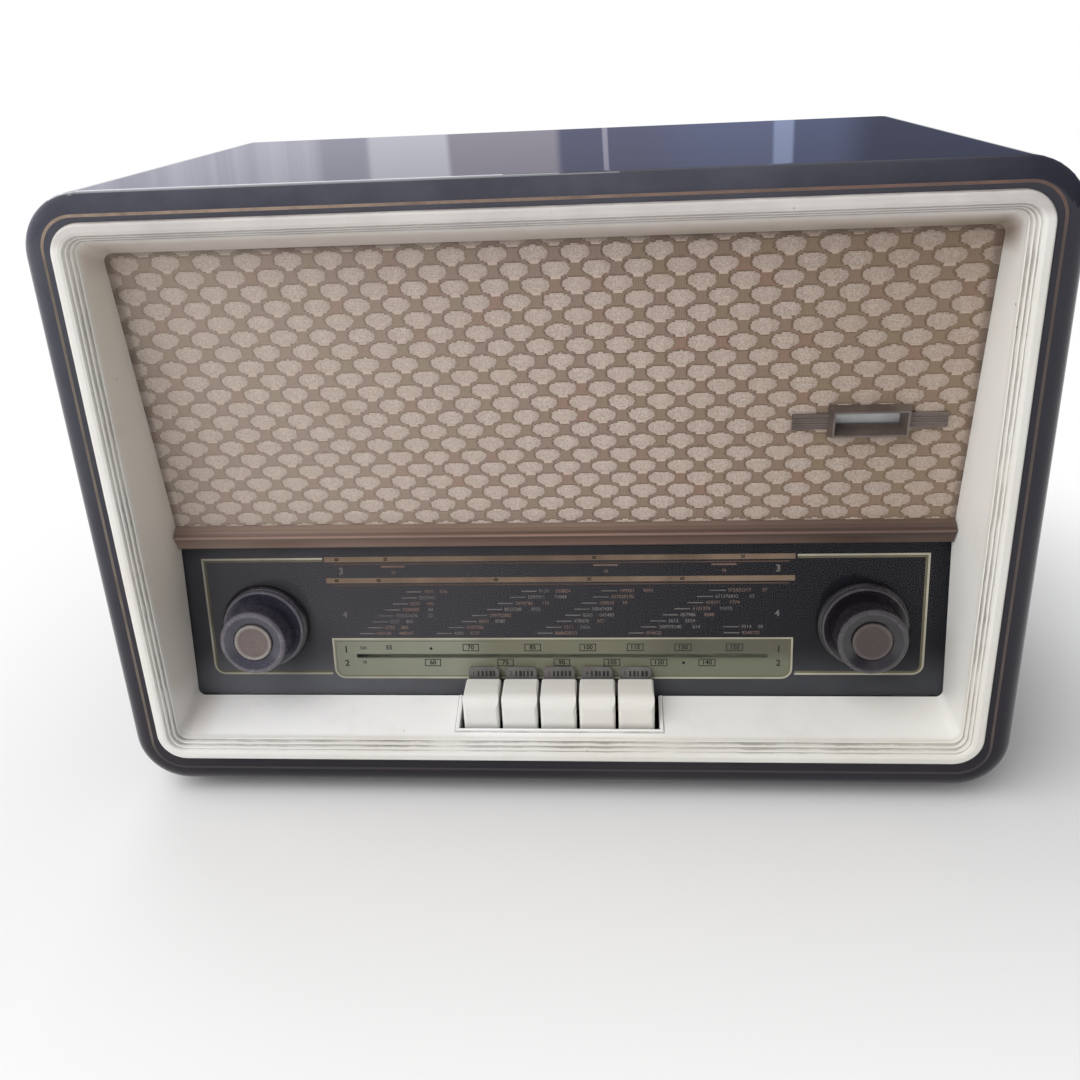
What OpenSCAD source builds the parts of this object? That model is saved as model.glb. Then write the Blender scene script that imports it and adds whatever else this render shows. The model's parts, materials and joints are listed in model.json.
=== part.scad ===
/* [Cabinet] */
// Width of the wooden cabinet
cab_w = 500; // [490:1:520]
// Height of the wooden cabinet without its feet
cab_h = 344; // [340:1:356]
// Depth of the wooden cabinet from front edge to rear edge
cab_d = 268; // [264:1:290]
// Radius of the four long outer corners
corner_r = 30; // [26:1:34]
// Radius of the rolled front edge
roll_r = 11; // [8:1:12]
// Thickness of the cabinet walls
wall_t = 12; // [10:1:13]
// Height of the rubber feet
foot_h = 8; // [6:1:12]

/* [Bezel] */
// Width of the ivory bezel over its outer lip
bezel_w = 464.8; // [460:0.2:468]
// Height of the ivory bezel over its outer lip
bezel_h = 310; // [306:1:312]
// Height of the bezel's centre above the table
bezel_zc = 183.6; // [182:0.2:185]
// Outer corner radius of the bezel's lip
bezel_r = 16; // [15:1:18]
// Depth of the crease where grille and dial meet, behind the front edge
crease_d = 44; // [42:1:46]
// Height of that crease above the table
crease_z = 144; // [142:1:146]

/* [Front] */
// Lean of the grille, forward at its top
grille_tilt = 6.2; // [5.8:0.1:6.6]
// Lean of the dial, back at its top
dial_tilt = 6.6; // [6.2:0.1:7]
// Length of the dial glass along its slope
glass_l = 97.5; // [96:0.5:98]
// Thickness of the dial glass
glass_t = 3; // [2.5:0.5:3.5]

/* [Controls] */
// Distance of each knob axis from the centre line
knob_x = 173; // [171:0.5:175]
// Distance of the knob axes above the lower edge of the visible dial
knob_up = 43.5; // [42:0.5:45]
// Radius of the rear ring knobs
ring_r = 24.1; // [23:0.1:25]
// Radius of the front knobs
knob_r = 19.4; // [18:0.1:19.5]
// Number of keys
key_n = 5; // [5:1:5]
// Width of one key
key_w = 20.6; // [20:0.1:20.8]
// Distance from key to key
key_pitch = 22.3; // [22:0.1:22.6]

/* [Speaker] */
// Outer radius of the loudspeaker basket
spk_r = 82; // [78:1:84]
// Distance of the loudspeaker's centre from the centre line
spk_x = -62; // [-70:1:-50]

/* [Tuning capacitor] */
// Number of rotor plates in each of the two gangs
cap_plates = 6; // [4:1:6]
// Radius of the rotor plates
cap_r = 17; // [15:1:18]

/* [Hidden] */
$fn = 64;
e = 0.01;
// The bezel's lip stands this far in front of the cabinet's front edge
lip_proud = 3.1;
front = -(cab_d - lip_proud) / 2;
cab_z0 = foot_h;
cab_z1 = foot_h + cab_h;
cab_zc = foot_h + cab_h / 2;
floor_z = cab_z0 + wall_t;
in_w = cab_w - 2 * wall_t;
in_h = cab_h - 2 * wall_t;
in_r = corner_r - wall_t;
// Face frame that closes the shell round the bezel
face_t = 8;
face_gap = 1.4;
face_w = bezel_w - 2 * face_gap;
face_h = bezel_h - 2 * face_gap;
face_r = bezel_r - face_gap;
// Inlay line
inlay_w = 475;
inlay_h = 322;
inlay_zc = 181.5;
inlay_r = 18;
inlay_t = 1.5;
inlay_deep = 1.2;
// Inner wall of the bezel: clear opening at the ridges and at its rear end
lip_in = 10.1;
open_front_d = 5;
open_rear_d = 52;
open_w0 = bezel_w - 2 * lip_in;
open_z0 = bezel_zc - bezel_h / 2 + lip_in;
open_z1 = bezel_zc + bezel_h / 2 - lip_in;
open_w1 = open_w0 - 7.6;
open_z0_rear = open_z0 + 15.4;
open_z1_rear = open_z1 - 22;
skin = 3;
// Dial plane: its lower visible edge
dial_z = crease_z - 94 * cos(dial_tilt);
dial_d = crease_d - 94 * sin(dial_tilt);
// Keys
key_front_d = 12;
key_back_d = 31.6;
key_low_z = 38.5;
key_top_z = 60.4;
key_wall = 1.8;
key_hinge_d = 86;
key_hinge_z = 40;
notch_w = 117;
notch_d = 10.4;
lever_t = 1.6;
hinge_r = 2;
run_gap = 0.06;
// Chassis
ch_d0 = 104;
ch_d1 = 244;
ch_w = 400;
ch_z = 72;
sheet = 1.5;
// Tuning capacitor
cap_x = 95;
cap_z = 97;
cap_d0 = 110;
cap_len = 48;
cap_shaft_r = 3;
drum_r = 30;
drum_d = 92;
// Knob shafts, in the frame of the dial glass
inner_r = 2;
outer_r = 3;
bush_r = 5;
frame_y = 26;
// Back panel
back_d = 261;
back_t = 3;
// Magic eye
eye_x = 167.3;
eye_z = 217.5;
rail_up = 90;

function arc(cx, cy, r, a0, a1, n) =
    [for (i = [0:n]) [cx + r * cos(a0 + (a1 - a0) * i / n), cy + r * sin(a0 + (a1 - a0) * i / n)]];

// Flat shapes in the front plane
module rrect(w, h, r) {
    square([w - 2 * r, h], center = true);
    square([w, h - 2 * r], center = true);
    for (sx = [-1, 1])
        for (sy = [-1, 1])
            translate([sx * (w / 2 - r), sy * (h / 2 - r)])
                circle(r);
}

// Extrudes a front-plane shape between two depths behind the front edge
module slab(d0, d1, zc = 0, x = 0) {
    translate([x, front + d1, zc])
        rotate([90, 0, 0])
            linear_extrude(d1 - d0)
                children();
}

// Extrudes a side profile, drawn as depth and height, across the width
module across(x0, x1) {
    translate([x0, front, 0])
        rotate([90, 0, 90])
            linear_extrude(x1 - x0)
                children();
}

// Sweeps a profile round a rounded rectangle; x is outward from its edge, y is depth
module frame_sweep(w, h, r, zc) {
    translate([0, front, zc])
        for (s = [0:3]) {
            long = (s % 2 == 0) ? w : h;
            across_half = ((s % 2 == 0) ? h : w) / 2;
            rotate([0, s * 90, 0]) {
                translate([0, 0, across_half])
                    rotate([0, -90, 0])
                        linear_extrude(long - 2 * r, center = true)
                            children();
                translate([long / 2 - r, 0, across_half - r])
                    rotate([-90, 0, 0])
                        rotate([0, 0, -90])
                            rotate_extrude(angle = 90)
                                translate([r, 0])
                                    children();
            }
        }
}

// Frame of the dial glass: origin at the middle of its lower visible edge
module on_dial() {
    translate([0, front + dial_d, dial_z])
        rotate([-dial_tilt, 0, 0])
            children();
}

// Frame of the grille: origin at the middle of its lower edge, in the crease
module on_grille() {
    translate([0, front + crease_d, crease_z])
        rotate([grille_tilt, 0, 0])
            children();
}

// A cylinder along local Y from y0 to y1
module ycyl(r, y0, y1) {
    translate([0, y1, 0])
        rotate([90, 0, 0])
            cylinder(r = r, h = y1 - y0);
}

// A revolved shape about local Y; its profile is drawn as radius and y
module yturn() {
    rotate([-90, 0, 0])
        rotate_extrude()
            children();
}

// A cylinder along local X from x0 to x1
module xcyl(r, x0, x1) {
    translate([x0, 0, 0])
        rotate([0, 90, 0])
            cylinder(r = r, h = x1 - x0);
}

module at_knob(side) {
    on_dial()
        translate([side * knob_x, 0, knob_up])
            children();
}

module cabinet_section() {
    polygon(concat(
        [[-wall_t, cab_d], [0, cab_d]],
        arc(-roll_r, roll_r, roll_r, 0, -90, 12),
        [[-wall_t, 0]]));
}

// Blocks in the rear corners that take the back screws: side and height
cleat = [[-1, 84], [-1, 292], [1, 84], [1, 292]];
cleat_x = in_w / 2 - 8;

module cabinet() {
    color("#2b2530")
    difference() {
        union() {
            frame_sweep(cab_w, cab_h, corner_r, cab_zc)
                cabinet_section();
            slab(0, face_t, cab_zc)
                rrect(in_w + 0.6, in_h + 0.6, in_r + 0.3);
            for (c = cleat)
                translate([c[0] * cleat_x - 8.2, front + back_d - 26, c[1] - 12])
                    cube([16.4, 26, 24]);
        }
        slab(-1, face_t + 1, bezel_zc)
            rrect(face_w, face_h, face_r);
        frame_sweep(inlay_w, inlay_h, inlay_r, inlay_zc)
            translate([-inlay_t, -1])
                square([inlay_t, inlay_deep + 1]);
        for (x = [-185, 185])
            for (d = [ch_d0 + 20, ch_d1 - 20])
                translate([x, front + d, cab_z0 - 1])
                    cylinder(r = 2.6, h = wall_t + 2);
        for (c = cleat)
            translate([c[0] * cleat_x, front + back_d - 18, c[1]])
                ycyl(1.4, 0, 19);
    }
}

module front_inlay() {
    color("#8a6a4c")
    frame_sweep(inlay_w, inlay_h, inlay_r, inlay_zc)
        translate([-inlay_t, -0.08])
            square([inlay_t, inlay_deep + 0.08]);
}

module feet() {
    color("#2c2a28")
    for (x = [-205, 205])
        for (d = [32, 236])
            translate([x, front + d, 0])
                rotate_extrude()
                    polygon([[3, 0], [10.5, 0], [12, 1.5], [13, foot_h], [2, foot_h], [2, 3], [3, 3]]);
}

// Lip and the three terraced ridges of the bezel
module bezel_section() {
    polygon(concat(
        [[-lip_in + skin, 7.5], [-lip_in + skin, 3], [-2, 3], [-2, 0], [0, 0]],
        arc(-2, -0.9, 2, 0, -80, 5),
        [[-4.4, -lip_proud], [-5.9, -2.7], [-6.6, -1.0], [-6.9, -1.2], [-7.5, -0.9], [-7.9, 1.4],
            [-8.3, 1.2], [-8.9, 1.5], [-9.3, 3.9], [-9.7, 3.7], [-lip_in, 4.2], [-lip_in, 7.5]]));
}

module opening_slab(d, w, z0, z1, r) {
    slab(d, d + e, (z0 + z1) / 2)
        rrect(w, z1 - z0, r);
}

module bezel_hollow() {
    hull() {
        $fn = 32;
        opening_slab(open_front_d - 0.5, open_w0, open_z0, open_z1, 5.9);
        opening_slab(open_rear_d, open_w1, open_z0_rear, open_z1_rear, 3);
    }
}

module bezel_walls() {
    hull() {
        $fn = 32;
        opening_slab(open_front_d, open_w0 + 2 * skin, open_z0 - skin, open_z1 + skin, 8);
        opening_slab(open_rear_d, open_w1 + 2 * skin, open_z0_rear - skin, open_z1_rear + skin, 5);
    }
}

// Space in front of the grille and the dial
module before_front() {
    rise = 200;
    drop = 130;
    across(-bezel_w / 2, bezel_w / 2)
        polygon([[-20, crease_z - drop], [crease_d - drop * tan(dial_tilt), crease_z - drop],
            [crease_d, crease_z], [crease_d - rise * tan(grille_tilt), crease_z + rise],
            [-20, crease_z + rise]]);
}

module key_notch() {
    translate([-notch_w / 2, front + notch_d, 20])
        cube([notch_w, 60, 44]);
}

module key_rim() {
    slope = (open_z0_rear - open_z0) / (open_rear_d - open_front_d + 0.5);
    rim_d1 = 33;
    z_at = open_z0 + slope * (notch_d - open_front_d);
    z_end = open_z0 + slope * (rim_d1 - open_front_d);
    rim = [[notch_d, z_at - 1.4], [notch_d, z_at + 1.1], [rim_d1 - 1, z_end + 1.1], [rim_d1 - 1, z_end - 1.4]];
    for (s = [-1, 1])
        across(s * (notch_w / 2 + 0.6) - 0.6, s * (notch_w / 2 + 0.6) + 0.6)
            polygon(rim);
    across(-notch_w / 2 - 1.2, notch_w / 2 + 1.2)
        polygon([[notch_d - 1.2, z_at - 1.6], [notch_d - 1.2, z_at + 0.7],
            [notch_d - 0.7, z_at + 1.1], [notch_d, z_at + 1.1], [notch_d, z_at - 1.4]]);
}

module bezel() {
    color("#e1ded5") {
        frame_sweep(bezel_w, bezel_h, bezel_r, bezel_zc)
            bezel_section();
        intersection() {
            difference() {
                bezel_walls();
                bezel_hollow();
                key_notch();
            }
            before_front();
        }
        key_rim();
    }
}

grille_l = 180;
grille_w = 452;
cloth_t = 0.8;
board_t = 8;
// Speaker centre along the slope of the grille
spk_up = 92;
// Radius of the seat in the basket that takes the rim of the cone
spk_rim = spk_r - 8;
spk_hole_ring = spk_r - 4;

module baffle_board() {
    color("#a8865c")
    on_grille()
        difference() {
            translate([-grille_w / 2, cloth_t, 0.5])
                cube([grille_w, board_t, grille_l]);
            translate([spk_x, 0, spk_up])
                ycyl(spk_rim, -1, 10);
            translate([eye_x - 34, -1, 60])
                cube([84, 12, 28]);
            for (a = [45:90:315])
                translate([spk_x + spk_hole_ring * cos(a), 0, spk_up + spk_hole_ring * sin(a)])
                    ycyl(2.2, -1, 10);
        }
}

module grille_cloth() {
    color("#a9917c")
    on_grille()
        difference() {
            translate([-grille_w / 2 + 1, 0, 1])
                cube([grille_w - 2, cloth_t, grille_l - 2]);
            translate([eye_x - 19, -1, 69])
                cube([38, 3, 10]);
        }
}

module divider_bar() {
    len_half = 218.9;
    color("#7c5a48")
    across(-len_half, len_half)
        polygon(concat(
            [[crease_d - 13 * tan(grille_tilt), crease_z + 13], [crease_d - 4.6, crease_z + 11.2],
                [crease_d - 6.4, crease_z + 9]],
            arc(crease_d - 6.9, crease_z + 7.9, 0.7, 120, 250, 4),
            [[crease_d - 6.3, crease_z + 6.8], [crease_d - 6.0, crease_z + 5.4], [crease_d - 5.2, crease_z + 3.4],
                [crease_d - 4.4, crease_z + 1.4], [crease_d - 3.9, crease_z - 0.2],
                [crease_d - 0.2 * tan(dial_tilt), crease_z - 0.2], [crease_d, crease_z]]));
}

module dial_glass() {
    color("#232126")
    on_dial()
        difference() {
            translate([-222, 0, -3.5])
                cube([444, glass_t, glass_l]);
            for (s = [-1, 1])
                translate([s * knob_x, 0, knob_up])
                    ycyl(6, -1, glass_t + 1);
        }
}

// Painted reflector behind the glass, carried by the dial frame
module dial_backplate() {
    y0 = 14;
    color("#b9bda0")
    on_dial()
        difference() {
            union() {
                translate([-208, y0, 3])
                    cube([416, 1, 84]);
                for (s = [-1, 1])
                    translate([s * 200 - 6, y0 + 0.5, 60])
                        cube([12, frame_y - y0 - 0.5, 12]);
            }
            for (s = [-1, 1])
                translate([s * knob_x, 0, knob_up])
                    ycyl(9, 10, frame_y + 1);
        }
}

// Pressed plate that carries the controls, with feet on the cabinet floor
module dial_frame() {
    leg_z = floor_z;
    color("#9a9c9e")
    difference() {
        union() {
            on_dial()
                translate([-212, frame_y, 14])
                    cube([424, sheet, 80]);
            // Upper and lower arms that hold the glass
            on_dial()
                for (s = [-1, 1])
                    for (z = [20, 86])
                        translate([s * 215 - 5, glass_t, z])
                            cube([10, frame_y - glass_t + sheet, sheet]);
            on_dial()
                for (s = [-1, 1])
                    translate([s * 212 - 8, frame_y, 14])
                        cube([16, sheet, 80]);
            // Legs
            for (s = [-1, 1]) {
                intersection() {
                    on_dial()
                        translate([s * 212 - 8, frame_y, -40])
                            cube([16, sheet, 60]);
                    translate([s * 212 - 9, front, leg_z])
                        cube([18, 120, 80]);
                }
                translate([s * 212 - 8, front + dial_d + frame_y - 8, leg_z])
                    cube([16, 30, sheet]);
            }
            // Bearing block behind the right-hand controls
            at_knob(1)
                for (y = [frame_y, 48])
                    translate([-14, y, -12])
                        cube([28, sheet, 24]);
            at_knob(1)
                for (s = [-1, 1])
                    translate([s * 13.25 - 0.75, frame_y, -12])
                        cube([sheet, 48 - frame_y + sheet, 24]);
            // Threaded bushes
            for (s = [-1, 1])
                at_knob(s)
                    ycyl(bush_r, frame_y - 5, frame_y + sheet);
        }
        for (s = [-1, 1])
            at_knob(s)
                ycyl(outer_r + run_gap, 0, 40);
        at_knob(1)
            ycyl(inner_r + run_gap, 40, 60);
        at_knob(-1)
            ycyl(outer_r + run_gap, 0, 60);
    }
}

// Round rail above the dial on which both pointer carriages slide
module pointer_rail() {
    color("#c9c9c4")
    on_dial() {
        for (y = [7.4, 11.2])
            translate([0, y, rail_up])
                xcyl(1, -190, 190);
        for (s = [-1, 1])
            translate([s * 190 - 2, 5.9, rail_up - 1.8])
                cube([4, frame_y - 5.9, 3.6]);
    }
}

// Pointer: a needle hung from a carriage on its rail
module pointer(y, x, low) {
    on_dial()
        translate([x, y, 0]) {
            translate([-0.5, -0.3, low])
                cube([1, 0.6, rail_up - low - 1.2]);
            difference() {
                translate([-7, -1.6, rail_up - 2])
                    cube([14, 3.2, 4]);
                translate([0, 0, rail_up])
                    xcyl(1 + run_gap, -8, 8);
            }
        }
}

am_rest = -108;
fm_rest = 92;

module am_pointer() {
    color("#c8b070")
    pointer(7.4, am_rest, 20);
}

module fm_pointer() {
    color("#c8b070")
    pointer(11.2, fm_rest, 16);
}

// Strip with one rounded tab behind each key
module key_labels() {
    tab_h = 16.4;
    color("#3a383c")
    on_dial() {
        translate([-54, -1, -2.5])
            cube([108, 1, 8]);
        for (i = [0:key_n - 1])
            translate([(i - (key_n - 1) / 2) * key_pitch, 0, 0])
                difference() {
                    translate([-9, -1, 0])
                        cube([18, 1, tab_h]);
                    for (s = [-1, 1])
                        translate([s * 9, -1.5, tab_h])
                            rotate([0, 45, 0])
                                cube([2.4, 4, 2.4], center = true);
                }
    }
}

eye_w = 42;
eye_h = 18;
eye_up = (eye_z - crease_z) / cos(grille_tilt);

// Escutcheon round the tuning eye, with a ribbed wing on each side
module eye_escutcheon() {
    win_w = 33;
    win_h = 7.4;
    color("#8b6f5d")
    on_grille()
        translate([eye_x, 0, eye_up])
            difference() {
                union() {
                    hull() {
                        translate([-eye_w / 2, -0.5, -eye_h / 2])
                            cube([eye_w, 0.5, eye_h]);
                        translate([-eye_w / 2 + 1.6, -5.4, -eye_h / 2 + 1.6])
                            cube([eye_w - 3.2, 0.4, eye_h - 3.2]);
                    }
                    for (s = [-1, 1]) {
                        translate([s * 30 - 9.6, -1.2, -4.4])
                            cube([19.2, 1.2, 8.8]);
                        for (k = [-1:1])
                            translate([s * 30, -1.2, k * 2.9])
                                rotate([45, 0, 0])
                                    cube([19.2, 1.5, 1.5], center = true);
                    }
                    translate([-win_w / 2 - 1, -1, -win_h / 2 - 1])
                        cube([win_w + 2, 4.2, win_h + 2]);
                }
                hull() {
                    translate([-eye_w / 2 + 2.6, -6, -eye_h / 2 + 2.6])
                        cube([eye_w - 5.2, 0.4, eye_h - 5.2]);
                    translate([-win_w / 2, 2, -win_h / 2])
                        cube([win_w, 0.4, win_h]);
                }
                translate([-win_w / 2, -1, -win_h / 2])
                    cube([win_w, 6, win_h]);
            }
}

eye_r = 10.5;
eye_y = 14.2;

module eye_tube() {
    color("#9fb4b8")
    on_grille()
        translate([eye_x + 2, eye_y, eye_up])
            rotate([0, -90, 0])
                rotate_extrude()
                    polygon(concat(
                        [[0, -34], [eye_r - 1, -34], [eye_r, -33]],
                        arc(eye_r - 5, 20, 5, 0, 70, 5),
                        [[2.4, 26], [1.2, 28.4], [0, 30]]));
}

// Sheet clip and socket that hold the tuning eye behind the baffle
module eye_clamp() {
    color("#b0a58c")
    on_grille()
        translate([eye_x + 2, eye_y, eye_up]) {
            difference() {
                xcyl(12, 34, 44);
                xcyl(4, 38, 50);
            }
            difference() {
                translate([28, -5.4, -13])
                    cube([8, 18.5, 26]);
                xcyl(eye_r + 0.05, 20, 34);
            }
            for (s = [-1, 1])
                translate([28, -5.4, s * 17 - 5])
                    cube([8, 1.2, 10]);
        }
}

module at_speaker() {
    on_grille()
        translate([spk_x, cloth_t + board_t, spk_up])
            children();
}

module speaker_basket() {
    color("#6f7072")
    at_speaker()
        difference() {
            yturn()
                polygon([[spk_rim, 0], [spk_r, 0], [spk_r, 2], [spk_r - 8.8, 2], [spk_r - 11, 8], [34, 44],
                    [30, 48], [10, 48], [10, 46.5], [29, 46.5], [32.5, 43], [spk_r - 13, 7],
                    [spk_r - 10.6, 1.1], [spk_rim, 1.1]]);
            // Four windows between the arms
            for (a = [0:90:270])
                rotate([0, a, 0])
                    translate([30, 11, -19])
                        cube([60, 26, 38]);
            for (a = [45:90:315])
                translate([spk_hole_ring * cos(a), 0, spk_hole_ring * sin(a)])
                    ycyl(2.2, -1, 3);
        }
}

module speaker_cone() {
    color("#3b352e")
    at_speaker()
        yturn()
            polygon(concat(
                [[spk_rim - 0.1, 0.1], [spk_rim - 0.1, 1.1], [spk_r - 10.8, 1.1]],
                [[spk_r - 13.5, 1.6], [spk_r - 15.5, 0.9], [spk_r - 17.5, 1.8]],
                [[13.5, 40.8], [13.5, 46.2], [12.7, 46.2], [12.7, 40.2]],
                arc(0, 40.2 - 9, 15.6, 35, 90, 5),
                [[0, 45.8]],
                [for (k = [5:-1:0]) [14.6 * cos(35 + 11 * k), 31.2 + 14.6 * sin(35 + 11 * k)]],
                [[spk_r - 18, 0.6], [spk_r - 15.5, 0.1], [spk_r - 13.5, 0.8]]));
}

module speaker_magnet() {
    color("#55565a")
    at_speaker()
        yturn()
            polygon([[0, 48], [29, 48], [29, 52], [26, 52.6], [26, 68], [24, 71], [10, 71], [9, 73], [0, 73]]);
}

module speaker_nuts() {
    color("#c2b06a")
    at_speaker()
        for (a = [45:90:315])
            translate([spk_hole_ring * cos(a), 0, spk_hole_ring * sin(a)]) {
                ycyl(2.15, -7, 6.5);
                difference() {
                    ycyl(4.6, 2, 4.6);
                    for (k = [0:60:300])
                        rotate([0, k, 0])
                            translate([3.9, 1, -5])
                                cube([3, 5, 10]);
                }
            }
}

socket_x = 60;
socket_z = 56;
socket_at = [-38, -19, 0, 19, 38];
voltage_x = -90;
grommet_x = -180;
grommet_z = 58;
rear_slot_w = 36;
rear_slot_pitch = 46;

tube_at = [[-20, 134], [38, 206], [-38, 168], [-75, 214], [168, 196]];
can_at = [[2, 176], [75, 214], [8, 222]];

module chassis() {
    color("#a7a9a6")
    difference() {
        union() {
            difference() {
                translate([-ch_w / 2, front + ch_d0, floor_z])
                    cube([ch_w, ch_d1 - ch_d0, ch_z - floor_z]);
                translate([-ch_w / 2 + sheet, front + ch_d0 + sheet, floor_z - 1])
                    cube([ch_w - 2 * sheet, ch_d1 - ch_d0 - 2 * sheet, ch_z - floor_z - sheet + 1]);
            }
            for (s = [-1, 1])
                translate([s * 185 - 14, front + ch_d0 + 1, floor_z])
                    cube([28, ch_d1 - ch_d0 - 2, sheet]);
        }
        for (x = [-185, 185])
            for (d = [ch_d0 + 20, ch_d1 - 20])
                translate([x, front + d, floor_z - 1])
                    cylinder(r = 2.2, h = 4);
        for (t = tube_at)
            if (t[0] < 150)
                translate([t[0], front + t[1], ch_z - 3])
                    cylinder(r = 9.5, h = 6);
        // Wiring slots and the socket opening in the rear wall
        for (x = [-120, 120])
            translate([x - 20, front + ch_d1 - 3, 28])
                cube([40, 6, 12]);
        translate([socket_x - 45, front + ch_d1 - 3, socket_z - 6])
            cube([90, 6, 12]);
    }
}

module chassis_screws() {
    color("#8d8c86")
    for (x = [-185, 185])
        for (d = [ch_d0 + 20, ch_d1 - 20])
            translate([x, front + d, cab_z0]) {
                cylinder(r = 2.15, h = wall_t + 6);
                translate([0, 0, -3.4])
                    difference() {
                        cylinder(r = 5, h = 3.4);
                        translate([-6, -0.6, -1])
                            cube([12, 1.2, 2.2]);
                    }
                translate([0, 0, wall_t + sheet])
                    cylinder(r = 4.4, h = 3, $fn = 6);
            }
}

module mains_transformer() {
    tx = -150;
    td = 196;
    color("#5b5148")
    translate([tx, front + td, ch_z]) {
        // Laminated core, coil and the two clamping frames
        difference() {
            translate([-36, -13, 0])
                cube([72, 26, 60]);
            for (s = [-1, 1])
                translate([s * 18 - 6, -14, 12])
                    cube([12, 28, 36]);
        }
        translate([-23.5, -27, 13])
            cube([47, 54, 34]);
        for (s = [-1, 1])
            for (z = [0, 51])
                difference() {
                    translate([-38, s * 15 - 2, z])
                        cube([76, 4, 9]);
                    for (x = [-31, 31])
                        translate([x, 0, z + 4.5])
                            ycyl(2, -20, 20);
                }
        for (x = [-31, 31])
            for (z = [4.5, 55.5])
                translate([x, 0, z])
                    ycyl(1.9, -20, 20);
    }
}

module output_transformer() {
    tx = -150;
    td = 128;
    color("#6d6154")
    translate([tx, front + td, ch_z]) {
        translate([-24, -9, 0])
            cube([48, 18, 40]);
        translate([-15, -17, 8])
            cube([30, 34, 24]);
        for (s = [-1, 1])
            difference() {
                translate([s * 30 - 6, -9, 0])
                    cube([12, 18, 1.2]);
                translate([s * 31, 0, -1])
                    cylinder(r = 2, h = 4);
            }
    }
}

module filter_capacitor() {
    color("#b8bbbd")
    translate([-95, front + 140, ch_z])
        rotate_extrude()
            polygon([[0, 0], [19, 0], [19, 2], [17.5, 2], [17.5, 62], [16.8, 63], [16.8, 64], [17.5, 65],
                [17.5, 68], [16, 70], [0, 70]]);
}

module tube_sockets() {
    color("#c9b98e")
    for (t = tube_at)
        translate([t[0], front + t[1], t[0] < 150 ? ch_z : ch_z + 46])
            difference() {
                rotate_extrude()
                    polygon([[0, t[0] < 150 ? -6 : 0], [9.3, t[0] < 150 ? -6 : 0], [9.3, 0], [13, 0], [13, 1.5],
                        [11.5, 5], [0, 5]]);
                for (a = [0:40:280])
                    rotate([0, 0, a + 20])
                        translate([6, 0, 1])
                            cylinder(r = 0.9, h = 6, $fn = 16);
            }
}

module tubes() {
    color("#c3ccce")
    for (t = tube_at)
        translate([t[0], front + t[1], (t[0] < 150 ? ch_z : ch_z + 46) + 5])
            rotate_extrude()
                polygon(concat(
                    [[0, 0], [9.6, 0], [10.4, 1.5]],
                    arc(5.4, t[0] < 150 ? 50 : 38, 5, 0, 70, 5),
                    [[2.4, t[0] < 150 ? 56 : 44], [1.4, t[0] < 150 ? 58.5 : 46.5], [0, t[0] < 150 ? 60.5 : 48.5]]));
}

module if_cans() {
    color("#b4b7b8")
    for (c = can_at)
        translate([c[0], front + c[1], ch_z])
            difference() {
                union() {
                    linear_extrude(52)
                        rrect(24, 24, 3);
                    linear_extrude(1)
                        rrect(34, 24, 2);
                }
                for (s = [-1, 1])
                    translate([s * 5, 0, 47])
                        cylinder(r = 2.6, h = 6);
            }
}

module fm_tuner_case() {
    color("#aeb0ae")
    translate([168, front + 196, ch_z]) {
        difference() {
            translate([-24, -30, 0])
                cube([48, 60, 46]);
            for (d = [-20, 20])
                translate([8, d, 40])
                    cylinder(r = 2.4, h = 10);
        }
        for (s = [-1, 1])
            translate([-30, s * 20 - 5, 0])
                cube([8, 10, 1.2]);
    }
}

module capacitor_frame() {
    h_up = 20;
    color("#b5b39f")
    translate([cap_x, front, cap_z])
        difference() {
            union() {
                for (d = [cap_d0, cap_d0 + cap_len / 2 - 0.75, cap_d0 + cap_len - sheet])
                    translate([-21, d, ch_z - cap_z])
                        cube([42, sheet, cap_z - ch_z + h_up]);
                translate([-21, cap_d0, ch_z - cap_z])
                    cube([42, cap_len, 1.5]);
                for (d = [cap_d0 - 3, cap_d0 + cap_len])
                    ycyl(6, d, d + 3);
            }
            ycyl(cap_shaft_r + run_gap, cap_d0 - 10, cap_d0 + cap_len + 10);
            for (s = [-1, 1])
                translate([s * 16, 0, 17.6])
                    ycyl(1.6, cap_d0 + 5, cap_d0 + cap_len - 5);
        }
}

plate_t = 0.7;
plate_pitch = 3;
function plate_d(gang, k) = cap_d0 + 4 + gang * (cap_len / 2 - 0.4) + k * plate_pitch;

module half_disc(r, t, d) {
    intersection() {
        ycyl(r, d, d + t);
        translate([-r - 1, d - 1, 0])
            cube([2 * r + 2, t + 2, r + 2]);
    }
}

module capacitor_rotor() {
    color("#c4c7c8")
    translate([cap_x, front, cap_z]) {
        ycyl(cap_shaft_r, drum_d - 4, cap_d0 + cap_len + 5);
        for (g = [0:1])
            for (k = [0:cap_plates - 1])
                half_disc(cap_r, plate_t, plate_d(g, k));
        // Cord drum with its rim groove
        yturn()
            polygon([[cap_shaft_r - 0.5, drum_d - 3], [7, drum_d - 3], [7, drum_d], [drum_r - 3, drum_d],
                [drum_r - 3, drum_d - 2], [drum_r, drum_d - 2], [drum_r, drum_d - 1.2], [drum_r - 1.5, drum_d + 0.5],
                [drum_r, drum_d + 2.2], [drum_r, drum_d + 3], [drum_r - 3, drum_d + 3], [drum_r - 3, drum_d + 1.4],
                [7, drum_d + 1.4], [7, drum_d + 4], [cap_shaft_r - 0.5, drum_d + 4]]);
    }
}

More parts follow.
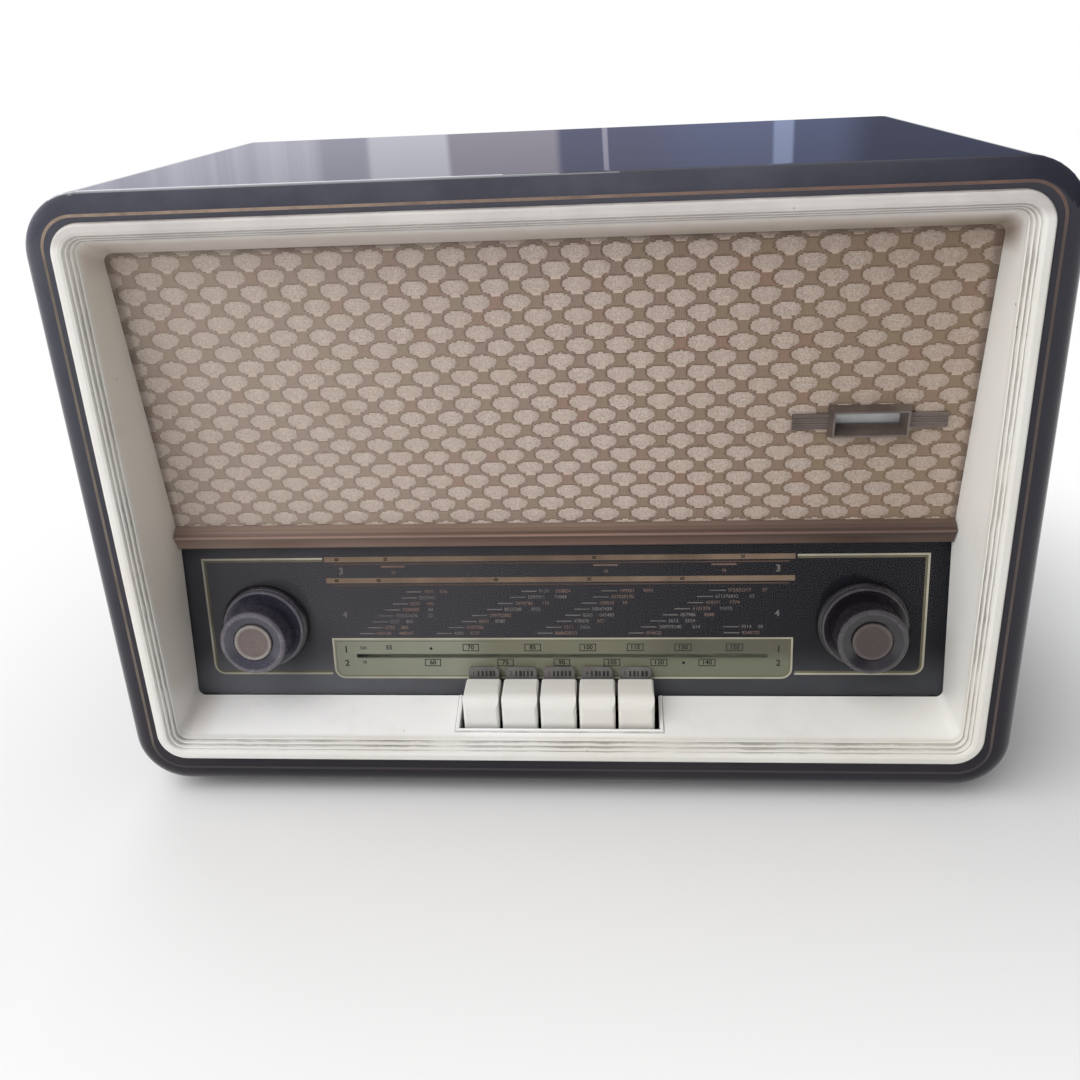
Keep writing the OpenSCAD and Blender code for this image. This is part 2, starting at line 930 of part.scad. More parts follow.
module capacitor_stator() {
    color("#c4c7c8")
    translate([cap_x, front, cap_z])
        difference() {
            union() {
                for (g = [0:1])
                    for (k = [0:cap_plates])
                        translate([-18, plate_d(g, k) - plate_pitch / 2, 3])
                            cube([36, plate_t, 16]);
                for (s = [-1, 1])
                    translate([s * 16, 0, 17.6])
                        ycyl(1.2, cap_d0 + sheet, cap_d0 + cap_len - sheet);
            }
            // Room for the rotor shaft
            ycyl(cap_shaft_r + 2.5, cap_d0, cap_d0 + cap_len);
        }
}

module key_frame() {
    color("#8f9193")
    difference() {
        union() {
            translate([-66, front + key_hinge_d - 14, floor_z])
                cube([132, 26, sheet]);
            for (s = [-1, 1])
                translate([s * 62 - sheet / 2, front + key_hinge_d - 14, floor_z])
                    cube([sheet, 26, key_hinge_z - floor_z + 8]);
            // Stop bar above the levers
            translate([-62, front + key_hinge_d - 14, key_hinge_z + 4.6])
                cube([124, 6, sheet]);
        }
        translate([0, front + key_hinge_d, key_hinge_z])
            xcyl(hinge_r, -70, 70);
        for (x = [-50, 50])
            translate([x, front + key_hinge_d + 6, floor_z - 1])
                cylinder(r = 2, h = 4);
    }
}

module key_pivot_rod() {
    color("#c6c8c9")
    translate([0, front + key_hinge_d, key_hinge_z])
        xcyl(hinge_r, -65, 65);
}

module band_switch() {
    color("#6b5236")
    difference() {
        translate([-60, front + key_hinge_d - 30, floor_z])
            cube([120, 15.5, 10]);
        for (i = [0:key_n - 1])
            translate([(i - (key_n - 1) / 2) * key_pitch, front + key_hinge_d - 22, floor_z + 7])
                cylinder(r = 3, h = 10);
    }
}

// Outside of one key cap: a curved side profile with its upright and upper edges rounded
module key_block(x) {
    long = 60;
    upright_r = 2.4;
    upper_r = 1.8;
    outer = concat(
        [[key_back_d, key_low_z + 5], [key_front_d + 0.8, key_low_z]],
        [[key_front_d + 0.1, key_low_z + 6]],
        arc(key_front_d + 7.5, key_top_z - 7.7, 7.5, 180, 97, 10),
        [[key_front_d + 13, key_top_z + 0.05], [key_back_d, key_top_z]]);
    intersection() {
        across(x - key_w / 2 - 1, x + key_w / 2 + 1)
            polygon(outer);
        slab(0, long, key_top_z + 0.1 - long / 2, x)
            rrect(key_w, long, upper_r);
        translate([x, front + key_front_d - 0.05 + long / 2, key_low_z - 2])
            linear_extrude(long)
                rrect(key_w, long, upright_r);
    }
}

// Key: a hollow cap on its steel lever, turning on the pivot rod
module key(i) {
    x = (i - (key_n - 1) / 2) * key_pitch;
    w = key_wall;
    color("#e6e3da")
    difference() {
        union() {
            difference() {
                key_block(x);
                across(x - key_w / 2 + w, x + key_w / 2 - w)
                    polygon([[key_back_d + 1, key_low_z - 3], [key_front_d + 0.8 + w, key_low_z - 3],
                        [key_front_d + 0.1 + w, key_low_z + 6], [key_front_d + w, key_top_z - 7],
                        [key_front_d + w + 3.4, key_top_z - w - 0.8], [key_back_d - w, key_top_z - w],
                        [key_back_d - w, key_low_z + 6], [key_back_d + 1, key_low_z + 6]]);
            }
            across(x - lever_t / 2, x + lever_t / 2)
                polygon([[key_front_d + 1, 40.5], [key_front_d + 1, 55], [key_front_d + 5, key_top_z - 2],
                    [key_back_d - 1, key_top_z - 1], [key_back_d - 1, 44.5], [key_hinge_d + 3, 44],
                    [key_hinge_d + 3, 36], [key_back_d + 8, 36], [key_front_d + 8, 40]]);
            translate([x, front + key_hinge_d, key_hinge_z])
                xcyl(4.6, -3.2, 3.2);
        }
        translate([x, front + key_hinge_d, key_hinge_z])
            xcyl(hinge_r + run_gap, -10, 10);
    }
}

module key_1() { key(0); }
module key_2() { key(1); }
module key_3() { key(2); }
module key_4() { key(3); }
module key_5() { key(4); }

module tone_volume_pot() {
    y0 = frame_y + sheet;
    color("#9d9a90")
    at_knob(-1) {
        yturn()
            polygon([[outer_r + 1, y0], [14, y0], [14, y0 + 9], [12.5, y0 + 9], [12.5, y0 + 10.5],
                [14, y0 + 10.5], [14, y0 + 20], [10, y0 + 22], [0, y0 + 22], [0, y0 + 19],
                [inner_r + 1, y0 + 19], [inner_r + 1, y0 + 10], [outer_r + 1, y0 + 10]]);
        // Solder lugs
        for (k = [-1:1])
            translate([k * 5 - 1, y0 + 3, -19])
                cube([2, 0.8, 7]);
    }
}

module back_screws() {
    color("#8d8c86")
    for (c = cleat)
        translate([c[0] * cleat_x, front, c[1]]) {
            ycyl(1.35, back_d - 14, back_d + back_t);
            difference() {
                yturn()
                    polygon([[0, back_d + back_t], [3.4, back_d + back_t], [2.6, back_d + back_t + 1.8],
                        [0, back_d + back_t + 2.2]]);
                translate([-4, back_d + back_t + 1.2, -0.5])
                    cube([8, 2, 1]);
            }
        }
}

module back_slot(w, h) {
    square([w - h, h], center = true);
    for (s = [-1, 1])
        translate([s * (w - h) / 2, 0])
            circle(h / 2);
}

module back_panel() {
    color("#6e5338")
    slab(back_d, back_d + back_t, cab_zc)
        difference() {
            rrect(in_w - 1, in_h - 1, in_r - 0.5);
            for (x = [-4:4])
                for (z = [0:6])
                    translate([x * rear_slot_pitch, 126 - z * 14])
                        back_slot(rear_slot_w, 5);
            for (x = [-4:4])
                for (z = [0:1])
                    translate([x * rear_slot_pitch, -141 - z * 12])
                        back_slot(rear_slot_w, 4);
            translate([socket_x, socket_z - cab_zc])
                square([110, 26], center = true);
            translate([voltage_x, socket_z - cab_zc])
                circle(14);
            translate([grommet_x, grommet_z - cab_zc])
                circle(7);
            for (c = cleat)
                translate([c[0] * cleat_x, c[1] - cab_zc])
                    circle(1.8);
        }
}

module socket_panel() {
    color("#5a4430")
    translate([socket_x, front + ch_d1, socket_z])
        difference() {
            union() {
                translate([-50, 0, -10])
                    cube([100, 2, 20]);
                for (x = socket_at)
                    translate([x, 0, 0])
                        ycyl(3.6, -9.5, 4.5);
            }
            for (x = socket_at)
                translate([x, 0, 0])
                    ycyl(2, -10, 6);
        }
}

module voltage_selector() {
    color("#3a3230")
    translate([voltage_x, front + ch_d1, socket_z])
        difference() {
            union() {
                ycyl(13, 0, 8);
                translate([-2, 8, -11])
                    cube([4, 3, 22]);
            }
            for (a = [40:80:320])
                translate([8.5 * cos(a), 0, 8.5 * sin(a)])
                    ycyl(1.4, 4, 10);
        }
}

module mains_grommet() {
    color("#26221f")
    translate([grommet_x, front + back_d, grommet_z])
        yturn()
            polygon([[3.8, -3], [8.6, -3], [9.4, -2], [9.4, 0], [7, 0], [7, back_t],
                [9.4, back_t], [9.4, back_t + 1.6], [8.4, back_t + 2.6], [3.8, back_t + 2.6]]);
}

module ferrite_antenna() {
    fz = 312;
    color("#4a4442")
    translate([40, front + 196, fz]) {
        xcyl(5, -80, 80);
        for (x = [-55, 20])
            translate([x, 0, 0])
                xcyl(7, 0, 26);
        for (x = [-72, 66]) {
            translate([x, -7, -8])
                cube([6, 14, cab_z1 - wall_t - fz + 8]);
            translate([x - 6, -7, cab_z1 - wall_t - fz - 2])
                cube([18, 14, 2]);
        }
    }
}

module dial_lamps() {
    color("#d8cfa8")
    on_dial()
        for (s = [-1, 1])
            translate([s * 132, 15, 80]) {
                translate([-3, 0, 0])
                    cube([6, frame_y - 15, 1]);
                translate([0, 5, 0])
                    rotate_extrude()
                        polygon(concat([[0, 0], [4, 0], [4, 8], [3, 9]],
                            arc(0, 13, 4.6, -38, 60, 5), [[0, 17.6]]));
            }
}

knob_face = -25.5;
disc_r = 10.7;
disc_y = knob_face + 3.4;

// Front knob: fluted skirt, polished rim and a dished face for the metal disc
module front_knob(side) {
    y1 = knob_face;
    at_knob(side)
        difference() {
            yturn()
                polygon(concat(
                    [[inner_r, -8.2], [knob_r - 2.6, -8.2], [knob_r - 1.6, -9.5], [knob_r - 0.6, -14]],
                    [[knob_r - 0.4, knob_face + 4.5]],
                    [for (k = [0:5]) [knob_r - 2.4 + 2.2 * cos(-k * 18), y1 + 2.4 + 2.2 * sin(-k * 18)]],
                    [[knob_r - 4.4, y1 + 0.9], [disc_r + 0.8, y1 + 2.2], [disc_r + 0.8, disc_y], [inner_r, disc_y]]));
            for (a = [0:15:345])
                rotate([0, a, 0])
                    translate([knob_r + 0.5, 0, 0])
                        ycyl(1.25, -19, -7);
        }
}

module knob_disc(side) {
    at_knob(side)
        yturn()
            polygon([[0, disc_y], [disc_r, disc_y], [disc_r, disc_y - 2], [disc_r - 0.6, disc_y - 2.3],
                [disc_r - 1.8, disc_y - 1.9], [0, disc_y - 1.6]]);
}

// Rear ring knob with its hollow shaft
module rear_ring(side, shaft_end) {
    at_knob(side)
        yturn()
            polygon(concat(
                [[inner_r + run_gap, -7.8], [inner_r + run_gap, shaft_end], [outer_r, shaft_end],
                    [outer_r, -1.6], [ring_r + 1.2, -0.7], [ring_r + 1.8, -1.8], [ring_r + 1.2, -3]],
                [[ring_r - 0.2, -3.8], [ring_r, -5.4]],
                [for (k = [0:4]) [ring_r - 1.4 + 1.4 * cos(-k * 22.5), -5.8 + 1.4 * sin(-k * 22.5)]],
                [[ring_r - 4, -6.6], [knob_r - 1, -6.2], [10, -6.2], [10, -7.8]]));
}

module volume_knob() {
    color("#2d2522")
    front_knob(-1);
}

module tuning_knob() {
    color("#2d2522")
    front_knob(1);
}

module volume_cap() {
    color("#8c7b72")
    knob_disc(-1);
}

module tuning_cap() {
    color("#8c7b72")
    knob_disc(1);
}

module volume_shaft() {
    color("#b9b7ae")
    at_knob(-1)
        ycyl(inner_r, disc_y, frame_y + 16);
}

module tuning_shaft() {
    color("#b9b7ae")
    at_knob(1)
        difference() {
            ycyl(inner_r, disc_y, 52);
            yturn()
                polygon([[inner_r - 0.5, 43], [inner_r + 1, 42], [inner_r + 1, 46], [inner_r - 0.5, 45]]);
        }
}

module tone_ring() {
    color("#2a2220")
    rear_ring(-1, frame_y + 8);
}

module fm_ring() {
    color("#2a2220") {
        rear_ring(1, 38.5);
        at_knob(1)
            yturn()
                polygon([[outer_r - 0.3, 32], [8, 32], [8, 33], [6.6, 34.2], [8, 35.4], [8, 36.4],
                    [outer_r - 0.3, 36.4]]);
    }
}

cabinet();
front_inlay();
feet();
bezel();
baffle_board();
grille_cloth();
divider_bar();
dial_glass();
dial_backplate();
dial_frame();
pointer_rail();
key_labels();
eye_escutcheon();
eye_tube();
eye_clamp();
speaker_basket();
speaker_cone();
speaker_magnet();
speaker_nuts();
chassis();
chassis_screws();
mains_transformer();
output_transformer();
filter_capacitor();
tube_sockets();
tubes();
if_cans();
fm_tuner_case();
capacitor_frame();
capacitor_stator();
key_frame();
key_pivot_rod();
band_switch();
tone_volume_pot();
back_panel();
back_screws();
socket_panel();
voltage_selector();
mains_grommet();
ferrite_antenna();
dial_lamps();
volume_knob();
volume_cap();
volume_shaft();
tone_ring();
tuning_knob();
tuning_cap();
tuning_shaft();
fm_ring();
capacitor_rotor();
am_pointer();
fm_pointer();
key_1();
key_2();
key_3();
key_4();
key_5();
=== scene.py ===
import json
import math
import random

import bmesh
import bpy
import numpy as np
from mathutils import Matrix, Vector


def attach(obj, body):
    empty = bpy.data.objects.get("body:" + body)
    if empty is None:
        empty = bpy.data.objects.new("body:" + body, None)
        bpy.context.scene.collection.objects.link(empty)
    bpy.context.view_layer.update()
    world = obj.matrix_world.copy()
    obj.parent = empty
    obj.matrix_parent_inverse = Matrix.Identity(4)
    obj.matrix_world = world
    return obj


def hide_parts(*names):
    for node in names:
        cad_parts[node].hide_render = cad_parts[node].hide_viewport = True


# Tube radio: materials, cloth, printing, camera and light for the assembly that comes from CAD
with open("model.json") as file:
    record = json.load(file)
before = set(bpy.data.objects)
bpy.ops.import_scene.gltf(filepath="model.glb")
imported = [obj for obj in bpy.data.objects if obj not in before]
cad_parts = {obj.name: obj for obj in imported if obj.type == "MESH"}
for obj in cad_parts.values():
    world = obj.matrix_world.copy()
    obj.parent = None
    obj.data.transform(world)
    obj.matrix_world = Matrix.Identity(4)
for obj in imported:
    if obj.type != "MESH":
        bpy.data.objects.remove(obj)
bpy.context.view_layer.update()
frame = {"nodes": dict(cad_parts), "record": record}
NODES = frame["nodes"]
MM = 0.001

# Values of the part, in millimetres: names with D are depths behind the front edge, with Z heights
FRONT = -132.45
# The crease between grille and dial, the tilt of the two planes, and their sizes
CREASE_D, CREASE_Z = 44.0, 144.0
GRILLE_TILT, DIAL_TILT = math.radians(6.2), math.radians(6.6)
GRILLE_W, GRILLE_L, DIAL_L = 452.0, 180.0, 94.0
DIAL_D = CREASE_D - DIAL_L * math.sin(DIAL_TILT)
DIAL_Z = CREASE_Z - DIAL_L * math.cos(DIAL_TILT)
# Knobs: their axes on the dial, and the radii of disc, knob, ring and flange
KNOB_X, KNOB_UP = 173.0, 43.5
CAP_R, KNOB_RIM_R, RING_RIM_R, FLANGE_R = 9.8, 17.6, 23.4, 24.1
# Outer edge of the bezel: width, height, middle height and corner radius
BEZEL_W, BEZEL_H, BEZEL_ZC, BEZEL_R = 464.8, 310.0, 183.6, 16.0
# Grooves of the bezel's lip: distance inward from its edge, half width, strength of the dirt in it
GROOVES = [(6.6, 0.12, 0.8), (7.95, 0.16, 0.9), (9.35, 0.16, 0.9), (10.6, 0.1, 0.4)]
# Keys: their pitch, and the rim round their recess
KEY_PITCH = 22.3
KEY_RIM_X, KEY_RIM_D = 60.0, 8.9
# Centre of the tuning eye on the grille, and half the width and height of the cloth's opening for it
EYE_X, EYE_UP, EYE_CUT_X, EYE_CUT_Z = 167.3, 73.93, 17.6, 4.8

# Frames of the two front planes: x to the right, y into the cabinet, z up the plane
GRILLE = Matrix.Translation((0, (FRONT + CREASE_D) * MM, CREASE_Z * MM))
GRILLE = GRILLE @ Matrix.Rotation(GRILLE_TILT, 4, "X")
DIAL = Matrix.Translation((0, (FRONT + DIAL_D) * MM, DIAL_Z * MM)) @ Matrix.Rotation(-DIAL_TILT, 4, "X")


def srgb(r, g, b):
    """Linear colour of an 8-bit screen colour."""
    def lin(v):
        v = v / 255
        return v / 12.92 if v <= 0.04045 else ((v + 0.055) / 1.055) ** 2.4
    return (lin(r), lin(g), lin(b), 1.0)


def in_scene(name, data):
    obj = bpy.data.objects.new(name, data)
    bpy.context.scene.collection.objects.link(obj)
    return obj


def mesh_from(bm, name):
    mesh = bpy.data.meshes.new(name)
    bm.to_mesh(mesh)
    bm.free()
    return mesh


class Shade:
    """A material and short ways to add nodes to it. The table of materials names most of them."""

    def __init__(self, name="plain"):
        self.mat = bpy.data.materials.new(name)
        self.mat.use_nodes = True
        self.tree = self.mat.node_tree
        self.bsdf = self.tree.nodes["Principled BSDF"]
        self.obj = self.new("ShaderNodeTexCoord").outputs["Object"]
        split = self.new("ShaderNodeSeparateXYZ")
        self.put(split.inputs[0], self.obj)
        self.x, self.y, self.z = split.outputs

    def new(self, kind, **props):
        node = self.tree.nodes.new(kind)
        for k, v in props.items():
            setattr(node, k, v)
        return node

    def put(self, socket, value):
        if isinstance(value, bpy.types.NodeSocket):
            self.tree.links.new(value, socket)
        elif value is not None:
            socket.default_value = value

    def fill(self, node, **values):
        for k, v in values.items():
            self.put(node.inputs[k.replace("_", " ")], v)
        return node

    def set(self, **values):
        self.fill(self.bsdf, **values)

    def math(self, op, a, b=None):
        n = self.new("ShaderNodeMath", operation=op)
        self.put(n.inputs[0], a)
        self.put(n.inputs[1], b)
        return n.outputs[0]

    def times(self, a, b):
        return self.math("MULTIPLY", a, b)

    def plus(self, a, b):
        return self.math("ADD", a, b)

    def minus(self, a, b):
        return self.math("SUBTRACT", a, b)

    def most(self, a, b):
        return self.math("MAXIMUM", a, b)

    def distance(self, a, b):
        """Length of a slope that goes a across and b up."""
        return self.math("SQRT", self.plus(self.math("POWER", a, 2.0), self.math("POWER", b, 2.0)))

    def step(self, v, low, high):
        """0 below low, 1 above high, smooth between."""
        n = self.new("ShaderNodeMapRange", interpolation_type="SMOOTHSTEP")
        return self.fill(n, Value=v, From_Min=low, From_Max=high).outputs[0]

    def span(self, v, low, high, to_low, to_high):
        """Carries the range from low to high over to another range."""
        n = self.new("ShaderNodeMapRange")
        self.fill(n, Value=v, From_Min=low, From_Max=high, To_Min=to_low, To_Max=to_high)
        return n.outputs[0]

    def mix(self, fac, a, b):
        """Mixes two colours. Three numbers are an 8-bit screen colour."""
        n = self.new("ShaderNodeMix", data_type="RGBA")
        self.put(n.inputs["Factor"], fac)
        for i, colour in ((6, a), (7, b)):
            screen = isinstance(colour, tuple) and len(colour) == 3
            self.put(n.inputs[i], srgb(*colour) if screen else colour)
        return n.outputs[2]

    def scaled(self, sx, sy, sz, vec=None):
        n = self.new("ShaderNodeVectorMath", operation="MULTIPLY")
        self.put(n.inputs[0], vec or self.obj)
        n.inputs[1].default_value = (sx, sy, sz)
        return n.outputs[0]

    def noise(self, scale, detail=3.0, rough=0.5, vec=None, distortion=0.0):
        n = self.new("ShaderNodeTexNoise")
        self.fill(n, Vector=vec or self.obj, Scale=scale, Detail=detail, Roughness=rough)
        return self.fill(n, Distortion=distortion).outputs["Fac"]

    def cloud(self, scale, low, high, detail=4, rough=0.6):
        """Noise between two values."""
        return self.span(self.noise(scale, detail, rough), 0.3, 0.7, low, high)

    def cells(self, scale):
        """Distance from the nearest of many scattered points."""
        n = self.new("ShaderNodeTexVoronoi")
        return self.fill(n, Vector=self.obj, Scale=scale).outputs["Distance"]

    def chance(self, *values):
        """A random number for each set of whole numbers."""
        v = self.new("ShaderNodeCombineXYZ")
        for i, value in enumerate(values):
            self.put(v.inputs[i], value)
        n = self.new("ShaderNodeTexWhiteNoise", noise_dimensions="3D")
        self.put(n.inputs["Vector"], v.outputs[0])
        return n.outputs["Value"]

    def along(self, direction, origin):
        """Millimetres from origin along a direction, in the part's frame."""
        n = self.new("ShaderNodeVectorMath", operation="DOT_PRODUCT")
        self.put(n.inputs[0], self.obj)
        n.inputs[1].default_value = tuple(direction)
        return self.times(self.minus(n.outputs["Value"], direction.dot(origin)), 1000.0)

    def profile(self, value, points, reach):
        """Reads a curve of (position, width) points, both within reach."""
        n = self.new("ShaderNodeFloatCurve")
        pts = n.mapping.curves[0].points
        flat = [(0.0, 0.0)] + [((a + reach) / (2 * reach), w / reach) for a, w in points] + [(1.0, 0.0)]
        while len(pts) < len(flat):
            pts.new(0.5, 0.5)
        for p, place in zip(pts, flat):
            p.location = place
            p.handle_type = "VECTOR"
        n.mapping.update()
        self.put(n.inputs["Value"], self.span(value, -reach, reach, 0, 1))
        return self.times(n.outputs[0], reach)

    def bump(self, height, strength, distance):
        n = self.fill(self.new("ShaderNodeBump"), Height=height, Strength=strength, Distance=distance)
        self.set(Normal=n.outputs[0])


def depth_step(s, low, high):
    """Rises from 0 to 1 between two depths in millimetres behind the front edge."""
    return s.step(s.y, (FRONT + low) * MM, (FRONT + high) * MM)


def lacquer():
    """Dark gloss lacquer over veneer whose grain runs round the shell."""
    s = Shade()
    grain = s.noise(1.0, 6, 0.6, s.scaled(5, 160, 5), 0.4)
    broad = s.noise(1.0, 2, 0.5, s.scaled(2.2, 22, 2.2))
    col = s.mix(s.step(grain, 0.35, 0.72), (27, 24, 33), (42, 36, 43))
    col = s.mix(s.times(s.step(broad, 0.4, 0.7), 0.5), col, (24, 24, 38))
    # A film of dust and a painted sheen of reflected light on the front rim, thicker towards the top and
    # weaker to the right
    rim = depth_step(s, 14, 3)
    dust_and_sheen = s.times(rim, s.span(s.z, 0.02, 0.35, 0.0, 0.95))
    dust_and_sheen = s.times(dust_and_sheen, s.span(s.x, 0.08, 0.24, 1.0, 0.3))
    dust = s.mix(s.step(s.noise(30, 4, 0.6), 0.3, 0.7), (66, 66, 76), (77, 78, 88))
    col = s.mix(dust_and_sheen, col, dust)
    haze = s.noise(14, 5, 0.6)
    s.set(Base_Color=col, Roughness=s.span(haze, 0.3, 0.7, 0.36, 0.5), Specular_IOR_Level=0.0, IOR=1.05,
          Coat_Weight=1.0, Coat_Roughness=0.03, Coat_IOR=1.36)
    fine = s.noise(1.0, 3, 0.5, s.scaled(30, 500, 30))
    s.bump(s.plus(s.times(fine, 0.25), s.noise(9, 2)), 0.03, 0.0003)
    return s.mat


def inlay():
    """Thin line of dull brown gold round the front of the cabinet."""
    s = Shade()
    worn = s.step(s.noise(60, 4, 0.7), 0.35, 0.75)
    # Painted light and shade: brighter along the top and on the left, darker down the sides, to the right and
    # along the bottom
    top = s.mix(s.step(s.x, -0.2, 0.2), (166, 146, 130), (116, 94, 86))
    side = s.mix(s.step(s.x, -0.1, 0.1), (118, 108, 98), (92, 82, 78))
    low = s.mix(s.step(s.z, 0.05, 0.024), side, (66, 62, 66))
    col = s.mix(s.step(s.z, 0.315, 0.338), low, top)
    s.set(Base_Color=s.mix(s.times(worn, 0.5), col, (74, 64, 62)), Metallic=0.1,
          Roughness=s.span(worn, 0, 1, 0.4, 0.6), Specular_IOR_Level=0.2)
    s.bump(s.noise(700, 2), 0.15, 0.0001)
    return s.mat


def edge_offset(s):
    """Distance in millimetres inward from the bezel's outer edge."""
    qs = []
    straights = ((s.x, 0.0, BEZEL_W / 2 - BEZEL_R), (s.z, BEZEL_ZC, BEZEL_H / 2 - BEZEL_R))
    for axis, centre, half in straights:
        p = s.minus(s.times(axis, 1000.0), centre)
        qs.append(s.minus(s.math("ABSOLUTE", p), half))
    outer = [s.most(q, 0.0) for q in qs]
    inner = s.math("MINIMUM", s.most(qs[0], qs[1]), 0.0)
    return s.minus(BEZEL_R, s.plus(s.distance(*outer), inner))


def band(s, value, centre, half, soft):
    """1 within half of centre, falling off over soft."""
    away = s.math("ABSOLUTE", s.minus(value, centre))
    return s.step(away, half + soft, half)


def ivory():
    """The base tones of aged ivory plastic: a new material and its colour so far."""
    s = Shade()
    yellow = s.step(s.noise(7, 3, 0.55), 0.35, 0.75)
    col = s.mix(yellow, (233, 232, 228), (226, 223, 214))
    return s, col


def ivory_specks(s, col):
    """Faint clouds of dirt and a few small specks."""
    cloud = s.step(s.noise(38, 5, 0.65), 0.5, 0.85)
    col = s.mix(s.times(cloud, 0.18), col, (186, 174, 158))
    specks = s.step(s.cells(150), 0.13, 0.04)
    some = s.step(s.noise(26, 2), 0.6, 0.66)
    return s.mix(s.times(s.times(specks, some), 0.75), col, (112, 98, 84))


def ivory_finish(s, col):
    """The shine and the fine scratches that all ivory pieces share."""
    gloss = s.noise(30, 4, 0.6)
    s.set(Base_Color=col, Roughness=s.span(gloss, 0.3, 0.7, 0.3, 0.46), Coat_Weight=0.25, Coat_Roughness=0.25,
          Subsurface_Weight=0.05, Subsurface_Scale=0.002)
    scratch = s.noise(1.0, 2, 0.5, s.scaled(60, 900, 900), 0.6)
    scratch = s.times(s.step(scratch, 0.66, 0.7), -0.4)
    s.bump(s.plus(s.noise(20, 2), scratch), 0.06, 0.0006)
    return s.mat


def lip_dirt(s, col):
    """Dirt in the grooves between the ridges, dust on the upper run, grime in the outer seam."""
    off = edge_offset(s)
    patch = s.cloud(24, 0.15, 0.95)
    wander = s.plus(off, s.cloud(60, -0.14, 0.14, 3, 0.6))
    dirt = 0.0
    for centre, half, power in GROOVES:
        dirt = s.most(dirt, s.times(band(s, wander, centre, half, 0.22), power))
    dirt = s.times(s.times(dirt, depth_step(s, 6.5, 4.8)), patch)
    dirt = s.times(dirt, s.span(s.z, 0.31, 0.335, 1.0, 0.5))
    col = s.mix(s.times(dirt, 0.85), col, (98, 90, 84))
    ledge = s.times(s.step(s.z, 0.325, 0.331), depth_step(s, 6, 4))
    dust = s.cloud(18, 0.35, 0.75)
    col = s.mix(s.times(ledge, dust), col, (178, 170, 168))
    seam = s.times(s.step(wander, 0.9, 0.2), s.span(s.noise(34, 4, 0.7), 0.35, 0.7, 0.3, 1.0))
    return s.mix(s.times(seam, 0.75), col, (104, 92, 84))


def wall_grime(s, col):
    """Grime on the walls of the opening, thickest against the grille, painted shade on the left wall, and a
    brown stained ceiling.
    """
    smudge = s.times(depth_step(s, 26, 42), s.span(s.noise(20, 5, 0.65), 0.35, 0.7, 0.1, 0.7))
    upper = s.step(s.z, 0.12, 0.17)
    col = s.mix(s.times(smudge, s.times(upper, 0.6)), col, (150, 132, 116))
    # Painted shade on the left wall, a little yellower
    shade = s.times(s.step(s.x, -0.2, -0.214), depth_step(s, 5, 8))
    col = s.mix(s.times(shade, 0.35), col, (212, 196, 176))
    ceiling = s.times(s.step(s.z, 0.304, 0.318), depth_step(s, 5, 12))
    col = s.mix(s.times(ceiling, 0.7), col, (204, 190, 184))
    stain = s.times(ceiling, depth_step(s, 8, 22))
    stain = s.times(stain, s.span(s.x, -0.1, 0.2, 0.15, 1.0))
    stain = s.times(stain, s.cloud(16, 0.4, 1.0))
    return s.mix(stain, col, (148, 132, 112))


def key_rim_dirt(s, col):
    """A fine line of painted shade outside the rim round the keys, broken up in places."""
    across = s.times(s.math("ABSOLUTE", s.x), 1000.0)
    depth = s.times(s.minus(s.y, FRONT * MM), 1000.0)
    beside = s.times(band(s, across, KEY_RIM_X, 0.15, 0.25), s.step(depth, 8.6, 9.2))
    before = s.times(band(s, depth, KEY_RIM_D, 0.15, 0.25), s.step(across, 60.3, 59.9))
    foot = s.times(s.most(beside, before), s.step(s.z, 0.07, 0.06))
    foot = s.times(foot, s.cloud(90, 0.35, 0.85, 3, 0.6))
    return s.mix(foot, col, (112, 104, 98))


def bezel_ivory():
    """Ivory of the bezel, with all the dirt that has gathered on it, painted light on the shelf and the right
    wall, and painted shade on the left wall and outside the rim round the keys.
    """
    s, col = ivory()
    # Painted light: the shelf and the right wall are lighter, most on the left
    painted_light = s.most(s.step(s.z, 0.075, 0.055), s.step(s.x, 0.185, 0.205))
    painted_light = s.times(painted_light, depth_step(s, 5, 8))
    col = s.mix(s.times(painted_light, s.span(s.x, -0.2, 0.1, 1.0, 0.4)), col, (251, 251, 251))
    col = lip_dirt(s, ivory_specks(s, col))
    return ivory_finish(s, key_rim_dirt(s, wall_grime(s, col)))


def key_ivory():
    """Ivory of the keys, a little grimy along their lower edges."""
    s, col = ivory()
    col = ivory_specks(s, col)
    low = s.times(s.step(s.z, 0.041, 0.0345), s.step(s.noise(160, 3, 0.6), 0.45, 0.62))
    return ivory_finish(s, s.mix(s.times(low, 0.7), col, (92, 80, 72)))


# Pattern of the cloth: width of a scallop's field, height of a row, and the middle of one scallop
CLOTH_PITCH, CLOTH_ROW = 20.92, 8.12
CLOTH_X0, CLOTH_Z0 = -210.3, 169.2
CLOTH_SHIFTS = ((0.0, 0.0), (CLOTH_PITCH / 2, CLOTH_ROW))
# Half width of one scallop, and of the dark thread round it, at heights from foot to crown
FAN = [(-4.9, 0.0), (-4.8, 2.4), (-4.0, 2.7), (-3.4, 3.2), (-3.0, 4.6), (-2.4, 5.8), (-1.6, 6.6),
       (-0.6, 7.0), (0.8, 7.1), (1.8, 6.8), (2.6, 6.0), (3.2, 4.9), (3.7, 3.6), (4.0, 2.0), (4.1, 0.0)]
OUTLINE = [(-5.2, 0.0), (-4.9, 3.4), (-4.0, 3.8), (-3.4, 4.4), (-3.0, 5.7), (-2.4, 6.9), (-1.6, 7.7),
           (-0.6, 8.1), (0.8, 8.2), (1.8, 8.0), (2.6, 7.3), (3.2, 6.4), (3.7, 5.4), (4.2, 4.4), (4.8, 2.6),
           (5.0, 0.0)]
# Spacing of the threads
WEFT, WARP = 0.8, 1.2


